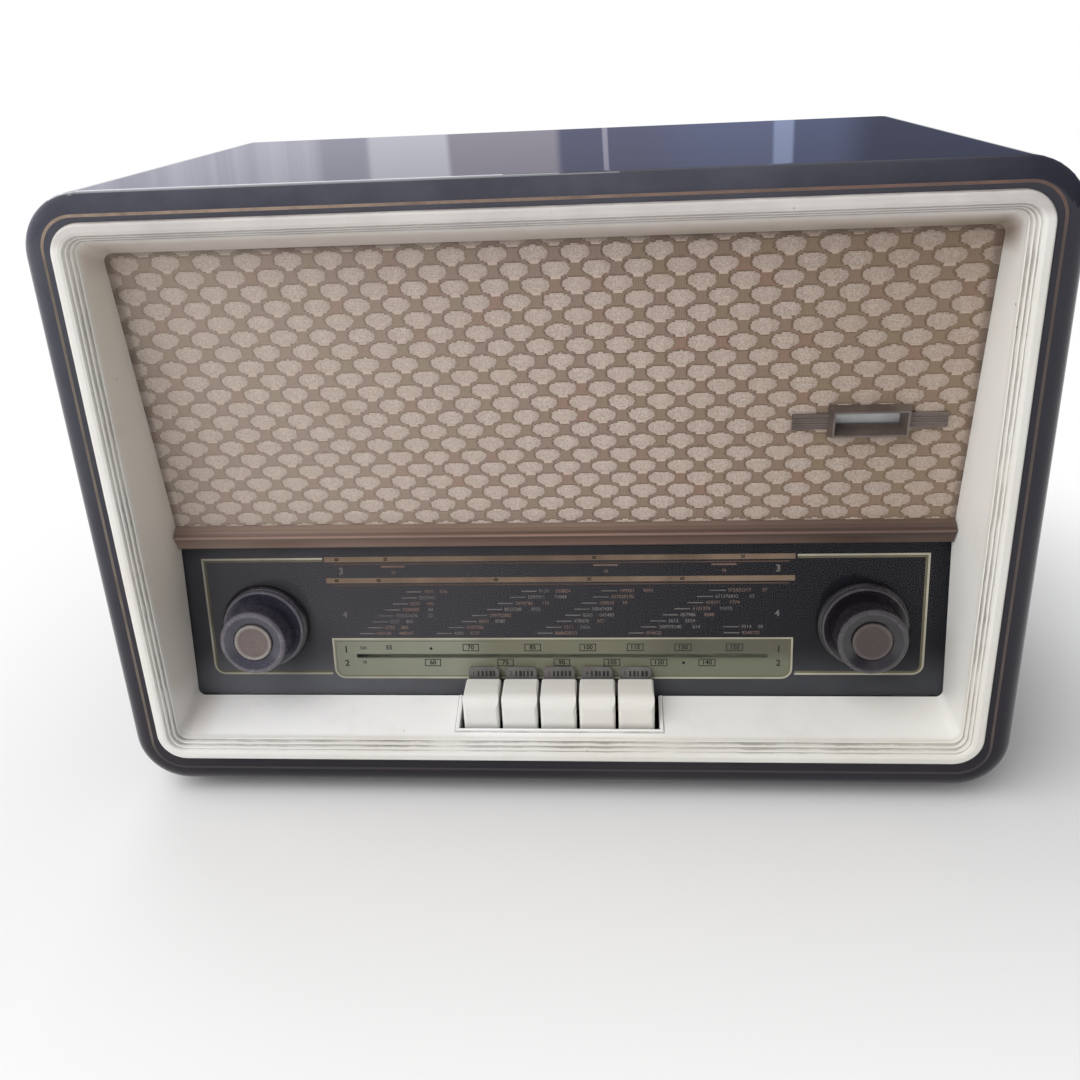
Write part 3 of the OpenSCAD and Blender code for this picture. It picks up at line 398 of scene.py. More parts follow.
def scallops(s, x, z, ragged, shift_x, shift_z):
    """One of the two staggered sets of scallops: masks of its parts, and a random tone for each scallop."""
    column = s.math("DIVIDE", s.minus(x, CLOTH_X0 + shift_x - CLOTH_PITCH / 2), CLOTH_PITCH)
    row = s.math("DIVIDE", s.minus(z, CLOTH_Z0 + shift_z - CLOTH_ROW), 2 * CLOTH_ROW)
    u = s.times(s.minus(s.math("FRACT", column), 0.5), CLOTH_PITCH)
    v = s.times(s.minus(s.math("FRACT", row), 0.5), 2 * CLOTH_ROW)
    tone = s.chance(s.math("FLOOR", column), s.math("FLOOR", row), shift_x)
    across = s.math("ABSOLUTE", u)
    away = s.minus(across, s.plus(ragged, s.span(tone, 0, 1, -0.2, 0.2)))
    half = s.profile(v, FAN, 10.0)
    mask = s.times(s.step(s.minus(half, away), -0.35, 0.35), s.step(half, 0.5, 1.2))
    wide = s.profile(v, OUTLINE, 10.0)
    rim = s.times(s.step(s.minus(wide, away), -0.6, 0.5), s.step(wide, 0.5, 1.5))
    # The dark thread is heavier on the left and below than on the right and above
    weight = s.plus(s.span(u, -7.0, 6.0, 0.5, 0.1), s.span(v, 5.0, -4.0, 0.4, 0.6))
    open_side = s.times(s.step(u, 3.6, 6.4), s.step(v, 4.0, 2.6))
    line = s.times(rim, weight)
    line = s.times(line, s.minus(1.0, s.times(open_side, 0.6)))
    foot = s.times(s.step(v, -3.2, -3.9), s.step(across, 2.9, 2.2))
    middle = s.times(s.step(across, 4.6, 2.4), mask)
    return mask, line, foot, middle, tone


def cloth_ground(s, x, z, ribs):
    """Ribbed ground between the scallops, in three hues that change from place to place."""
    column = s.math("DIVIDE", s.minus(x, CLOTH_X0 - CLOTH_PITCH / 4), CLOTH_PITCH / 2)
    row = s.math("DIVIDE", s.minus(z, CLOTH_Z0 - CLOTH_ROW / 2), CLOTH_ROW)
    hue = s.chance(s.math("FLOOR", column), s.math("FLOOR", row), 5.0)
    col = s.mix(s.step(hue, 0.2, 0.5), (145, 129, 109), (147, 127, 114))
    col = s.mix(s.step(hue, 0.7, 1.0), col, (152, 123, 108))
    return s.mix(s.times(s.step(ribs, -0.6, 1.0), 0.3), col, (122, 104, 92))


def cloth_age(s, x, uv, col):
    """Lighter on the left as painted light, darker and browner on the right as painted shade, stained in
    places, darker along the edges with grime and painted shade.
    """
    # Painted light on the left, painted shade with a browner tone on the right
    col = s.mix(s.times(s.step(x, 120.0, -215.0), 0.34), col, (200, 188, 175))
    col = s.mix(s.times(s.step(x, 20.0, 200.0), 0.31), col, (128, 108, 82))
    stain = s.step(s.noise(0.02, 3, 0.6, uv), 0.58, 0.8)
    col = s.mix(s.times(stain, 0.25), col, (140, 110, 88))
    # Grime and painted shade along the sides and top of the opening
    side = s.step(s.math("ABSOLUTE", s.times(s.x, 1000.0)), 214.5, 219.0)
    top = s.step(s.z, (CREASE_Z + 170.5) * MM, (CREASE_Z + 175.5) * MM)
    grime_and_shade = s.cloud(30, 0.35, 0.9)
    return s.mix(s.times(s.most(side, top), grime_and_shade), col, (92, 78, 70))


def brocade():
    """Woven cloth: pale ribbed scallops in staggered rows on a darker ribbed ground."""
    s = Shade()
    uv = s.new("ShaderNodeUVMap", uv_map="cloth").outputs[0]
    split = s.new("ShaderNodeSeparateXYZ")
    s.put(split.inputs[0], uv)
    x, z = split.outputs[0], split.outputs[1]
    pick = s.math("FLOOR", s.math("DIVIDE", z, WEFT))
    end = s.math("FLOOR", s.math("DIVIDE", x, WARP / 2))
    # Each weft thread starts and ends a little differently
    strand = s.new("ShaderNodeCombineXYZ")
    s.put(strand.inputs[0], s.times(x, 0.16))
    s.put(strand.inputs[1], s.times(pick, 7.3))
    ragged = s.span(s.noise(1.0, 1, 0.5, strand.outputs[0]), 0.25, 0.75, -0.65, 0.65)
    z_step = s.times(s.plus(pick, 0.5), WEFT)
    sets = [scallops(s, x, z_step, ragged, *shift) for shift in CLOTH_SHIFTS]
    masks, lines, feet, middles, tones = zip(*sets)
    fan = s.most(*masks)
    line = s.times(s.most(*lines), s.minus(1.0, fan))
    tone = s.mix(masks[1], tones[0], tones[1])
    # Threads: rows of weft floats in the scallops, warp ribs in the ground
    weft = s.math("SINE", s.times(z, 2 * math.pi / WEFT))
    ribs = s.math("SINE", s.times(x, 2 * math.pi / WARP))
    knot = s.chance(end, pick, 3.0)
    pale = s.mix(knot, (178, 160, 148), (219, 205, 196))
    pale = s.mix(s.times(s.step(weft, -0.2, 1.0), 0.4), pale, (156, 138, 126))
    edge = s.minus(1.0, s.most(*middles))
    pale = s.mix(s.times(edge, 0.3), pale, (166, 150, 139))
    pale = s.mix(s.times(tone, 0.3), pale, (188, 168, 157))
    pale = s.mix(s.times(s.most(*feet), 0.75), pale, (212, 190, 174))
    col = s.mix(fan, cloth_ground(s, x, z, ribs), pale)
    col = s.mix(s.times(line, s.span(knot, 0, 1, 0.55, 0.85)), col, (96, 79, 70))
    s.set(Base_Color=cloth_age(s, x, uv, col), Roughness=0.85, Sheen_Weight=0.15, Sheen_Roughness=0.5,
          Specular_IOR_Level=0.2)
    floats = s.times(fan, s.times(weft, 0.4))
    rows = s.times(s.minus(1.0, fan), s.times(ribs, 0.5))
    thread = s.plus(floats, rows)
    s.bump(s.plus(thread, s.times(knot, 0.5)), 0.5, 0.00025)
    return s.mat


# Painted highlight and shade of the moulding in bands across its profile: the heights where each begins and
# where it is full, in millimetres, and its colour
MOULDING_SHADING = [(144.3, 143.9, (70, 56, 50)), (149.0, 149.6, (88, 66, 55)), (150.9, 151.3, (148, 120, 107)),
            (152.4, 153.0, (94, 72, 61)), (153.7, 154.3, (120, 97, 84)), (155.2, 155.8, (140, 118, 105))]


def copper():
    """Lacquered trim of a dull copper brown, with a painted highlight on its small nose, painted shade in
    bands along its profile, lighter to the left and darker to the right.
    """
    s = Shade()
    brushed = s.noise(1.0, 4, 0.6, s.scaled(6, 700, 700))
    tarnish = s.step(s.noise(18, 4, 0.65), 0.35, 0.7)
    up = s.times(s.z, 1000.0)
    col = s.mix(s.step(up, 145.0, 149.0), (118, 91, 79), (102, 76, 64))
    # Painted highlight on the nose and painted shade in bands along the profile
    for begin, full, colour in MOULDING_SHADING:
        col = s.mix(s.step(up, begin, full), col, colour)
    col = s.mix(s.times(tarnish, 0.25), col, (100, 80, 70))
    col = s.mix(s.times(s.step(brushed, 0.4, 0.7), 0.15), col, (88, 68, 60))
    # Painted light to the left and painted shade to the right
    col = s.mix(s.times(s.step(s.x, 0.0, -0.2), 0.2), col, (190, 172, 160))
    col = s.mix(s.times(s.step(s.x, 0.0, 0.2), 0.55), col, (44, 36, 34))
    s.set(Base_Color=col, Metallic=0.15, Roughness=s.span(tarnish, 0, 1, 0.4, 0.55))
    s.bump(brushed, 0.08, 0.0002)
    return s.mat


def clear_glass(tint, ior=1.48):
    """Glass that lets the lamps through to what lies behind it."""
    s = Shade()
    s.set(Base_Color=tint, Roughness=0.0, Transmission_Weight=1.0, IOR=ior)
    out = s.tree.nodes["Material Output"]
    path = s.new("ShaderNodeLightPath")
    see = s.new("ShaderNodeBsdfTransparent")
    see.inputs[0].default_value = tint
    mixer = s.new("ShaderNodeMixShader")
    s.put(mixer.inputs[0], path.outputs["Is Shadow Ray"])
    s.put(mixer.inputs[1], s.bsdf.outputs[0])
    s.put(mixer.inputs[2], see.outputs[0])
    s.put(out.inputs["Surface"], mixer.outputs[0])
    return s.mat


def paint(a, b, rough=(0.4, 0.6), metal=0.0, scale=60, grit=0.0002, coat=0.0):
    """Two close tones with a fine surface."""
    s = Shade()
    n = s.step(s.noise(scale, 4, 0.6), 0.35, 0.7)
    fine = s.noise(scale * 14, 2, 0.5)
    s.set(Base_Color=s.mix(n, a, b), Roughness=s.span(n, 0, 1, *rough), Metallic=metal,
          Coat_Weight=coat, Coat_Roughness=0.1)
    s.bump(s.plus(n, fine), 0.12, grit)
    return s.mat


def print_ink(name, a, b, scale=30):
    """Flat ink of two close tones on the back of the glass."""
    s = Shade(name)
    col = s.mix(s.step(s.noise(scale, 4, 0.6), 0.35, 0.7), a, b)
    s.set(Base_Color=col, Roughness=0.6, Specular_IOR_Level=0.15)
    return s.mat


def dial_height(s):
    """Millimetres up the dial from its lower end."""
    return s.along(DIAL.to_3x3().col[2], DIAL.translation)


def dial_black():
    """Black print with a painted reflection that makes it lighter and hazy on the left and along the lower
    edge.
    """
    s = Shade("dial_black")
    cloud = s.cloud(11, 0.75, 1.0)
    # Painted reflection on the left and along the lower edge, in clouds
    left = s.times(s.step(s.x, 0.17, -0.17), cloud)
    low = s.times(s.step(dial_height(s), 30.0, 3.0), cloud)
    col = s.mix(left, (22, 21, 27), (68, 66, 70))
    haze = s.mix(s.step(s.x, 0.0, -0.2), (70, 71, 75), (110, 111, 116))
    col = s.mix(s.times(low, 0.8), col, haze)
    s.set(Base_Color=col, Roughness=0.6, Specular_IOR_Level=0.15)
    return s.mat


def dial_green():
    """Green print of the band scale, with a painted reflection that lightens its left part and its lower
    right, and painted shade that darkens it to the right.
    """
    s = Shade("dial_green")
    # Painted reflection on the left and the lower right, painted shade on the upper right
    left = s.mix(s.step(s.noise(12, 4, 0.6), 0.35, 0.7), (141, 141, 127), (133, 135, 119))
    right = s.mix(s.step(dial_height(s), 26.0, 16.0), (94, 92, 79), (112, 114, 96))
    col = s.mix(s.step(s.x, -0.062, -0.036), left, (117, 116, 98))
    s.set(Base_Color=s.mix(s.step(s.x, 0.02, 0.075), col, right), Roughness=0.6, Specular_IOR_Level=0.15)
    return s.mat


def knob_radius(s):
    """Millimetres from the axis of the nearer knob."""
    across = s.minus(s.math("ABSOLUTE", s.times(s.x, 1000.0)), KNOB_X)
    up = s.minus(dial_height(s), KNOB_UP)
    return s.distance(across, up)


def knob_plastic():
    """Dark brown moulded plastic, gloss, with dust and rubbed rims that carry a painted highlight; the left
    pair is lighter and bluer, with a painted reflection and more dust.
    """
    s = Shade()
    dust = s.step(s.noise(70, 5, 0.7), 0.48, 0.8)
    r = knob_radius(s)
    depth = s.along(DIAL.to_3x3().col[1], DIAL.translation)
    scuff = s.cloud(140, 0.45, 1.0, 4, 0.65)
    front_rim = s.times(band(s, r, KNOB_RIM_R, 0.9, 0.8), s.step(depth, -20.0, -23.0))
    ring_rim = s.times(band(s, r, RING_RIM_R, 0.5, 0.4), s.step(depth, -20.0, -4.0))
    left = s.step(s.x, 0.05, -0.05)
    # Rubbed rims with a painted highlight, stronger on the left pair
    rub_and_highlight = s.times(s.most(front_rim, ring_rim), scuff)
    rub_and_highlight = s.times(rub_and_highlight, s.span(left, 0, 1, 0.22, 0.6))
    # Painted reflection: the left pair is lighter and bluer, and its dust stronger
    base = s.mix(left, (31, 28, 32), (56, 54, 66))
    col = s.mix(s.times(dust, s.span(left, 0, 1, 0.12, 0.4)), base, (96, 92, 102))
    col = s.mix(rub_and_highlight, col, (126, 120, 126))
    col = s.mix(s.step(r, FLANGE_R, FLANGE_R + 0.4), col, (16, 14, 16))
    s.set(Base_Color=col, Roughness=s.span(dust, 0, 1, 0.26, 0.42), Coat_Weight=0.3, Coat_Roughness=0.15)
    s.bump(s.noise(400, 2), 0.05, 0.0001)
    return s.mat


def cap_metal():
    """Lacquered disc: matt, speckled, with a rubbed edge; painted shade darkens the right pair, and a painted
    highlight lightens the edge of the left pair.
    """
    s = Shade()
    speck = s.noise(1500, 3, 0.8)
    cloud = s.step(s.noise(90, 3, 0.6), 0.35, 0.7)
    left = s.step(s.x, 0.05, -0.05)
    col = s.mix(s.step(speck, 0.4, 0.65), (106, 94, 91), (130, 116, 112))
    col = s.mix(s.times(cloud, 0.4), col, (90, 80, 78))
    # Painted shade on the right pair
    col = s.mix(s.times(s.minus(1.0, left), 0.85), col, (68, 60, 58))
    # Rubbed edge with a painted highlight, stronger on the left pair
    edge = s.step(knob_radius(s), CAP_R - 1.6, CAP_R)
    edge = s.times(edge, s.span(s.noise(200, 3), 0.3, 0.7, 0.5, 1.0))
    col = s.mix(s.times(edge, s.span(left, 0, 1, 0.15, 0.8)), col, (172, 166, 160))
    s.set(Base_Color=col, Metallic=0.3, Roughness=0.5)
    s.bump(speck, 0.15, 0.0001)
    return s.mat


def zinc(a, b, rough=(0.28, 0.5)):
    """Plated or rolled sheet metal with a crystalline mottle."""
    s = Shade()
    cells = s.times(s.cells(180), 0.5)
    tone = s.plus(cells, s.times(s.noise(35, 4, 0.6), 0.7))
    t = s.step(tone, 0.3, 0.8)
    s.set(Base_Color=s.mix(t, a, b), Metallic=0.9, Roughness=s.span(t, 0, 1, *rough))
    s.bump(s.noise(1.0, 3, 0.5, s.scaled(120, 1200, 120)), 0.06, 0.0001)
    return s.mat


def wood(light, dark):
    """Bare board with straight grain."""
    s = Shade()
    grain = s.noise(1.0, 6, 0.6, s.scaled(10, 140, 140), 0.8)
    s.set(Base_Color=s.mix(s.step(grain, 0.35, 0.68), light, dark), Roughness=0.72)
    s.bump(grain, 0.25, 0.0003)
    return s.mat


def fibre(a, b):
    """Pressed board: short fibres in two tones."""
    s = Shade()
    long_fibre = s.noise(1.0, 5, 0.75, s.scaled(220, 220, 900), 1.2)
    speck = s.noise(420, 3, 0.7)
    col = s.mix(s.step(long_fibre, 0.35, 0.7), a, b)
    col = s.mix(s.times(s.step(speck, 0.6, 0.72), 0.5), col, (46, 32, 22))
    s.set(Base_Color=col, Roughness=0.78)
    s.bump(s.plus(long_fibre, speck), 0.3, 0.0002)
    return s.mat


MATERIALS = {
    "cabinet_lacquer": lacquer(),
    "inlay": inlay(),
    "feet_rubber": paint((42, 40, 38), (58, 55, 52), (0.75, 0.9), scale=120),
    "ivory_plastic": bezel_ivory(),
    "baffle_wood": wood((186, 150, 104), (150, 112, 72)),
    "grille_fabric": brocade(),
    "copper_trim": copper(),
    "dial_glass": clear_glass((0.96, 0.97, 0.96, 1.0), 1.2),
    "reflector_paint": paint((186, 188, 160), (170, 172, 146), (0.45, 0.6)),
    "plated_steel": zinc((172, 174, 176), (132, 134, 138)),
    "bright_steel": zinc((200, 200, 198), (176, 176, 174), (0.18, 0.3)),
    "label_strip": paint((104, 100, 98), (88, 84, 83), (0.3, 0.45), scale=90, coat=0.3),
    "bronze_plastic": paint((112, 100, 94), (88, 77, 72), (0.3, 0.42), 0.25, scale=50, grit=0.0001,
                            coat=0.35),
    "eye_tube_glass": paint((202, 201, 203), (182, 181, 186), (0.1, 0.2), coat=0.6),
    "clamp_board": fibre((158, 132, 96), (126, 100, 70)),
    "basket_steel": paint((106, 107, 110), (86, 88, 92), (0.35, 0.5), 0.6),
    "cone_paper": fibre((66, 58, 50), (44, 38, 34)),
    "magnet_iron": paint((88, 88, 92), (66, 66, 72), (0.4, 0.6), 0.7),
    "zinc_fasteners": zinc((186, 180, 150), (140, 132, 104), (0.25, 0.4)),
    "chassis_steel": zinc((170, 172, 170), (136, 138, 136), (0.34, 0.55)),
    "transformer_iron": paint((84, 70, 58), (62, 50, 42), (0.45, 0.65), 0.4),
    "can_aluminium": zinc((196, 198, 200), (168, 170, 172), (0.3, 0.42)),
    "socket_board": fibre((188, 164, 122), (150, 126, 88)),
    "tube_glass": clear_glass((0.86, 0.9, 0.9, 1.0)),
    "passivated_steel": zinc((188, 176, 132), (160, 144, 96)),
    "plate_aluminium": zinc((204, 206, 208), (180, 182, 184), (0.25, 0.36)),
    "paper_board": fibre((116, 84, 52), (84, 58, 36)),
    "pot_steel": zinc((168, 160, 140), (140, 132, 112)),
    "back_board": fibre((122, 92, 62), (92, 66, 44)),
    "dark_bakelite": paint((54, 38, 32), (36, 26, 24), (0.2, 0.35), scale=80, coat=0.4),
    "ferrite": paint((64, 62, 62), (48, 46, 46), (0.45, 0.6), 0.2),
    "lamp_glass": clear_glass((0.95, 0.9, 0.78, 1.0)),
    "knob_plastic": knob_plastic(),
    "cap_metal": cap_metal(),
    "pointer_brass": paint((206, 190, 150), (180, 160, 116), (0.3, 0.45), 0.5),
    "key_ivory": key_ivory(),
}
for name, mat in MATERIALS.items():
    mat.name = name
SLOT_OF = {row["node"]: row["material_slot"] for row in frame["record"]["subparts"]}
for name, obj in NODES.items():
    for slot in obj.material_slots:
        slot.material = MATERIALS[SLOT_OF[name]]


def piece(name, mesh, slot, body="housing", mat=None):
    """Makes an object from a mesh, gives it a material and lets it ride on a body."""
    mesh.name = name
    obj = in_scene(name, mesh)
    mesh.materials.clear()
    mesh.materials.append(mat or MATERIALS[slot])
    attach(obj, body)
    return obj


# The cloth: its depth behind the plane of the grille, relief of the weave, slow waves, and step of the grid
CLOTH_Y, CLOTH_RELIEF, CLOTH_WAVE, CLOTH_STEP = 0.45, 0.28, 0.05, 0.8


def weave_place(x, z):
    """Where a point of the stretched cloth lay in the even weave: the cloth was pulled a little unevenly."""
    # From -1 to 1 over the width and the height of the opening
    a, b = x / 220, (z - 94) / 85
    slack = 6.0 * (a ** 3 - a)
    lean = 1.25 * a * b - 1.36 * b
    bow = 1.95 * a * a - 0.65
    sag = 2.9 * b * b - 0.8
    pull = b * (1.1 * a * a - 0.7 * b * b - 1.5)
    return x - (slack + lean + bow), z - (sag + pull)


def fan_height(x, z):
    """Relief of the weave from 0 to 1: scallops stand up, their outlines lie low."""
    vs, ws = np.array(FAN).T
    up = np.zeros_like(x)
    for sx, sz in CLOTH_SHIFTS:
        u = np.mod(x - (CLOTH_X0 + sx - CLOTH_PITCH / 2), CLOTH_PITCH) - CLOTH_PITCH / 2
        v = np.mod(z - (CLOTH_Z0 + sz - CLOTH_ROW), 2 * CLOTH_ROW) - CLOTH_ROW
        half = np.interp(v, vs, ws, left=0, right=0)
        inside = np.clip((half - np.abs(u)) / 1.8, 0.0, 1.0)
        up = np.maximum(up, np.sqrt(inside) * (half > 0))
    return up


def make_cloth():
    """The stretched sheet, with its relief, an opening for the tuning eye and its weave as a UV map."""
    nx, nz = int((GRILLE_W - 2) / CLOTH_STEP), int((GRILLE_L - 2) / CLOTH_STEP)
    xs = np.linspace(-GRILLE_W / 2 + 1, GRILLE_W / 2 - 1, nx + 1)
    zs = np.linspace(1, GRILLE_L - 1, nz + 1)
    gx, gz = np.meshgrid(xs, zs)
    wx, wz = weave_place(gx, gz)
    gy = CLOTH_Y - CLOTH_RELIEF * fan_height(wx, wz)
    gy += CLOTH_WAVE * np.sin(gx * 0.021 + 1.0) * np.sin(gz * 0.03)
    co = np.stack([gx, gy, gz], -1).reshape(-1, 3) * MM
    rot = np.array(GRILLE)[:3, :3]
    co = co @ rot.T + np.array(GRILLE)[:3, 3]
    faces = []
    w = nx + 1
    for j in range(nz):
        for i in range(nx):
            cx, cz = (xs[i] + xs[i + 1]) / 2, (zs[j] + zs[j + 1]) / 2
            if abs(cx - EYE_X) < EYE_CUT_X and abs(cz - EYE_UP) < EYE_CUT_Z:
                continue
            a = j * w + i
            faces.append((a, a + 1, a + w + 1, a + w))
    mesh = bpy.data.meshes.new("grille_sheet")
    mesh.from_pydata(co.tolist(), [], faces)
    uv = mesh.uv_layers.new(name="cloth")
    flat = np.stack([wx, wz], -1).reshape(-1, 2)
    loops = np.zeros(len(mesh.loops), np.int32)
    mesh.loops.foreach_get("vertex_index", loops)
    uv.data.foreach_set("uv", flat[loops].astype(np.float32).ravel())
    mesh.polygons.foreach_set("use_smooth", [True] * len(mesh.polygons))
    mesh.update()
    bm = bmesh.new()
    bm.from_mesh(mesh)
    loose = [v for v in bm.verts if not v.link_faces]
    bmesh.ops.delete(bm, geom=loose, context="VERTS")
    bm.to_mesh(mesh)
    bm.free()
    return mesh


cloth = piece("grille_sheet", make_cloth(), "grille_fabric")
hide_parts("grille_cloth")


# The dial's print lies in layers just inside the glass, so that its front alone shines over them
MASK_Y, BAND_Y, LINE_Y, PRINT_Y, PRINT_THICK = 2.96, 2.935, 2.915, 2.895, 0.02
STANDING = Matrix.Rotation(math.pi / 2, 4, "X")


def mesh_of(curve):
    """The mesh of a curve or a text, which itself is removed."""
    tmp = in_scene("drawing", curve)
    mesh = bpy.data.meshes.new_from_object(tmp)
    bpy.data.objects.remove(tmp)
    bpy.data.curves.remove(curve)
    return mesh


def shape_mesh(loops, y):
    """A thin filled outline with holes: loops of (x, z) in millimetres, at depth y in the dial's frame."""
    cu = bpy.data.curves.new("shape", "CURVE")
    cu.dimensions = "2D"
    cu.fill_mode = "BOTH"
    cu.extrude = PRINT_THICK / 2 * MM
    for loop in loops:
        sp = cu.splines.new("POLY")
        sp.points.add(len(loop) - 1)
        for p, (x, z) in zip(sp.points, loop):
            p.co = (x * MM, z * MM, 0, 1)
        sp.use_cyclic_u = True
    mesh = mesh_of(cu)
    mesh.transform(DIAL @ Matrix.Translation((0, y * MM, 0)) @ STANDING)
    return mesh


def text_mesh(body, x, z, size, weight=0.0, align="CENTER", y=PRINT_Y):
    """Digits of a size in millimetres, at a place in the dial's frame."""
    cu = bpy.data.curves.new("digits", "FONT")
    cu.body = body
    cu.size = size * MM
    cu.align_x = align
    cu.align_y = "CENTER"
    cu.resolution_u = 3
    cu.extrude = PRINT_THICK / 2 * MM
    cu.offset = weight * MM
    mesh = mesh_of(cu)
    mesh.transform(DIAL @ Matrix.Translation((x * MM, y * MM, z * MM)) @ STANDING)
    return mesh


def layer(name, meshes, mat, slot="dial_glass"):
    """Joins meshes into one thin piece."""
    bm = bmesh.new()
    for m in meshes:
        bm.from_mesh(m)
        bpy.data.meshes.remove(m)
    return piece(name, mesh_from(bm, name), slot, mat=mat)


def rect(x0, x1, z0, z1):
    return [(x0, z0), (x1, z0), (x1, z1), (x0, z1)]


def arc(cx, cz, r, a0, a1, n):
    """Points at n + 1 equal steps from angle a0 to a1 in degrees."""
    angles = [math.radians(a0 + (a1 - a0) * i / n) for i in range(n + 1)]
    return [(cx + r * math.cos(a), cz + r * math.sin(a)) for a in angles]


def circle(cx, cz, r, n=48):
    return arc(cx, cz, r, 0, 360, n)[:-1]


def mitre(a, p, b, half):
    """The two points beside p, at half the width of a line that runs from a through p to b."""
    d0 = Vector((p[0] - a[0], p[1] - a[1]))
    d1 = Vector((b[0] - p[0], b[1] - p[1]))
    d0 = (d0 if d0.length > 1e-9 else d1).normalized()
    d1 = (d1 if d1.length > 1e-9 else d0).normalized()
    n = Vector((-(d0 + d1).y, (d0 + d1).x)).normalized()
    k = half / max(0.3, n.dot(Vector((-d0.y, d0.x))))
    return (p[0] + n.x * k, p[1] + n.y * k), (p[0] - n.x * k, p[1] - n.y * k)


def ribbon(points, width):
    """The outline of a line of given width that follows points, with mitred corners."""
    before, after = points[:1] + points[:-1], points[1:] + points[-1:]
    left, right = zip(*(mitre(a, p, b, width / 2) for a, p, b in zip(before, points, after)))
    return list(left) + list(right)[::-1]


def ring(points, width):
    """The outer and the inner outline of a line of given width that follows a closed loop."""
    before, after = points[-1:] + points[:-1], points[1:] + points[:1]
    sides = zip(*(mitre(a, p, b, width / 2) for a, p, b in zip(before, points, after)))
    return [list(side) for side in sides]


# Lines and fields of the dial, in millimetres from its middle and its lower end
SLIT = rect(-120.8, 120.8, 20.7, 23.2)
BAND_X, BAND_LOW, BAND_TOP, BAND_R = 134.6, 7.7, 33.0, 6.0
FRAME_X, FRAME_LOW, FRAME_TOP, FRAME_R = 208.6, 10.4, 84.0, 6.0
FRAME_END, FRAME_LINE = 136.4, 1.2
# Two long strips, with a thin brown line under each
STRIP_ROWS, STRIP_X, STRIP_HALF = (83.4, 70.2), 135.2, 1.6
BROWN_X, BROWN_FROM, BROWN_TO = 132, 3.35, 2.65


def band_outline(inset, radius):
    """The green band: square above, rounded below."""
    x, top = BAND_X - inset, BAND_TOP - inset
    middle_x, middle_z = BAND_X - BAND_R, BAND_LOW + BAND_R
    return ([(-x, top)] + arc(-middle_x, middle_z, radius, 180, 270, 8)
            + arc(middle_x, middle_z, radius, 270, 360, 8) + [(x, top)])


def knob_frame(side, x, top, radius):
    """A line round the field of the knobs on one side, open towards the middle of the dial."""
    middle_x, middle_z = FRAME_X - FRAME_R, FRAME_LOW + FRAME_R
    path = [(FRAME_END, top), (x, top)] + arc(middle_x, middle_z, radius, 0, -90, 8)
    path.append((FRAME_END, middle_z - radius))
    return shape_mesh([ribbon([(side * px, pz) for px, pz in path], FRAME_LINE)], LINE_Y)


black = dial_black()
gold = print_ink("dial_gold", (132, 112, 93), (108, 89, 74))
cream = print_ink("dial_cream", (186, 181, 162), (162, 157, 138))
olive = print_ink("dial_olive", (112, 106, 84), (92, 86, 68))
brown = print_ink("dial_brown", (96, 74, 62), (78, 60, 52))
green = dial_green()
ink = print_ink("dial_ink", (34, 32, 27), (26, 25, 21), 80)
rust = print_ink("dial_rust", (128, 104, 95), (104, 86, 80), 80)
grey = print_ink("dial_grey", (122, 117, 114), (98, 94, 93), 80)

shaft_holes = [circle(side * KNOB_X, KNOB_UP, 6.4) for side in (-1, 1)]
mask = shape_mesh([rect(-221.5, 221.5, -3.2, 93.6), SLIT] + shaft_holes, MASK_Y)
piece("dial_mask", mask, "dial_glass", mat=black)
band_edge = band_outline(0, BAND_R)
piece("dial_band", shape_mesh([band_edge, SLIT], BAND_Y), "dial_glass", mat=green)

gold_lines = []
brown_lines = []
for z in STRIP_ROWS:
    gold_lines.append(shape_mesh([rect(-STRIP_X, STRIP_X, z - STRIP_HALF, z + STRIP_HALF)], LINE_Y))
    brown_lines.append(shape_mesh([rect(-BROWN_X, BROWN_X, z - BROWN_FROM, z - BROWN_TO)], LINE_Y))
cream_lines = [knob_frame(side, FRAME_X, FRAME_TOP, FRAME_R) for side in (-1, 1)]
cream_lines.append(shape_mesh(ring(band_edge, 1.0), LINE_Y))
# A darker line just inside each pale one
olive_lines = [knob_frame(side, FRAME_X - 1.4, FRAME_TOP - 1.3, FRAME_R - 1.3) for side in (-1, 1)]
olive_lines.append(shape_mesh(ring(band_outline(1.6, 4.6), 0.45), LINE_Y))
layer("dial_gold_strips", gold_lines, gold)
layer("dial_cream_lines", cream_lines, cream)
layer("dial_brown_lines", brown_lines, brown)
layer("dial_olive_lines", olive_lines, olive)

# Numbers of the green band, above and below the slit, and the places of the small numbers on the strips
UPPER_Z, LOWER_Z = 27.3, 17.6
UPPER = [(-101.0, "55"), (-52.0, "70"), (-15.3, "85"), (17.1, "100"), (44.7, "115"), (72.3, "130"),
         (102.0, "150")]
LOWER = [(-75.2, "60"), (-31.8, "75"), (1.6, "90"), (31.0, "105"), (58.4, "120"), (86.2, "140")]
BOX_X, BOX_Z, END_X = 4.6, 2.1, 127.1
STRIP_NUMBERS = [(20, (-128, -99, 22, 106)), (40, (-129, -104, -35, 19, 72))]


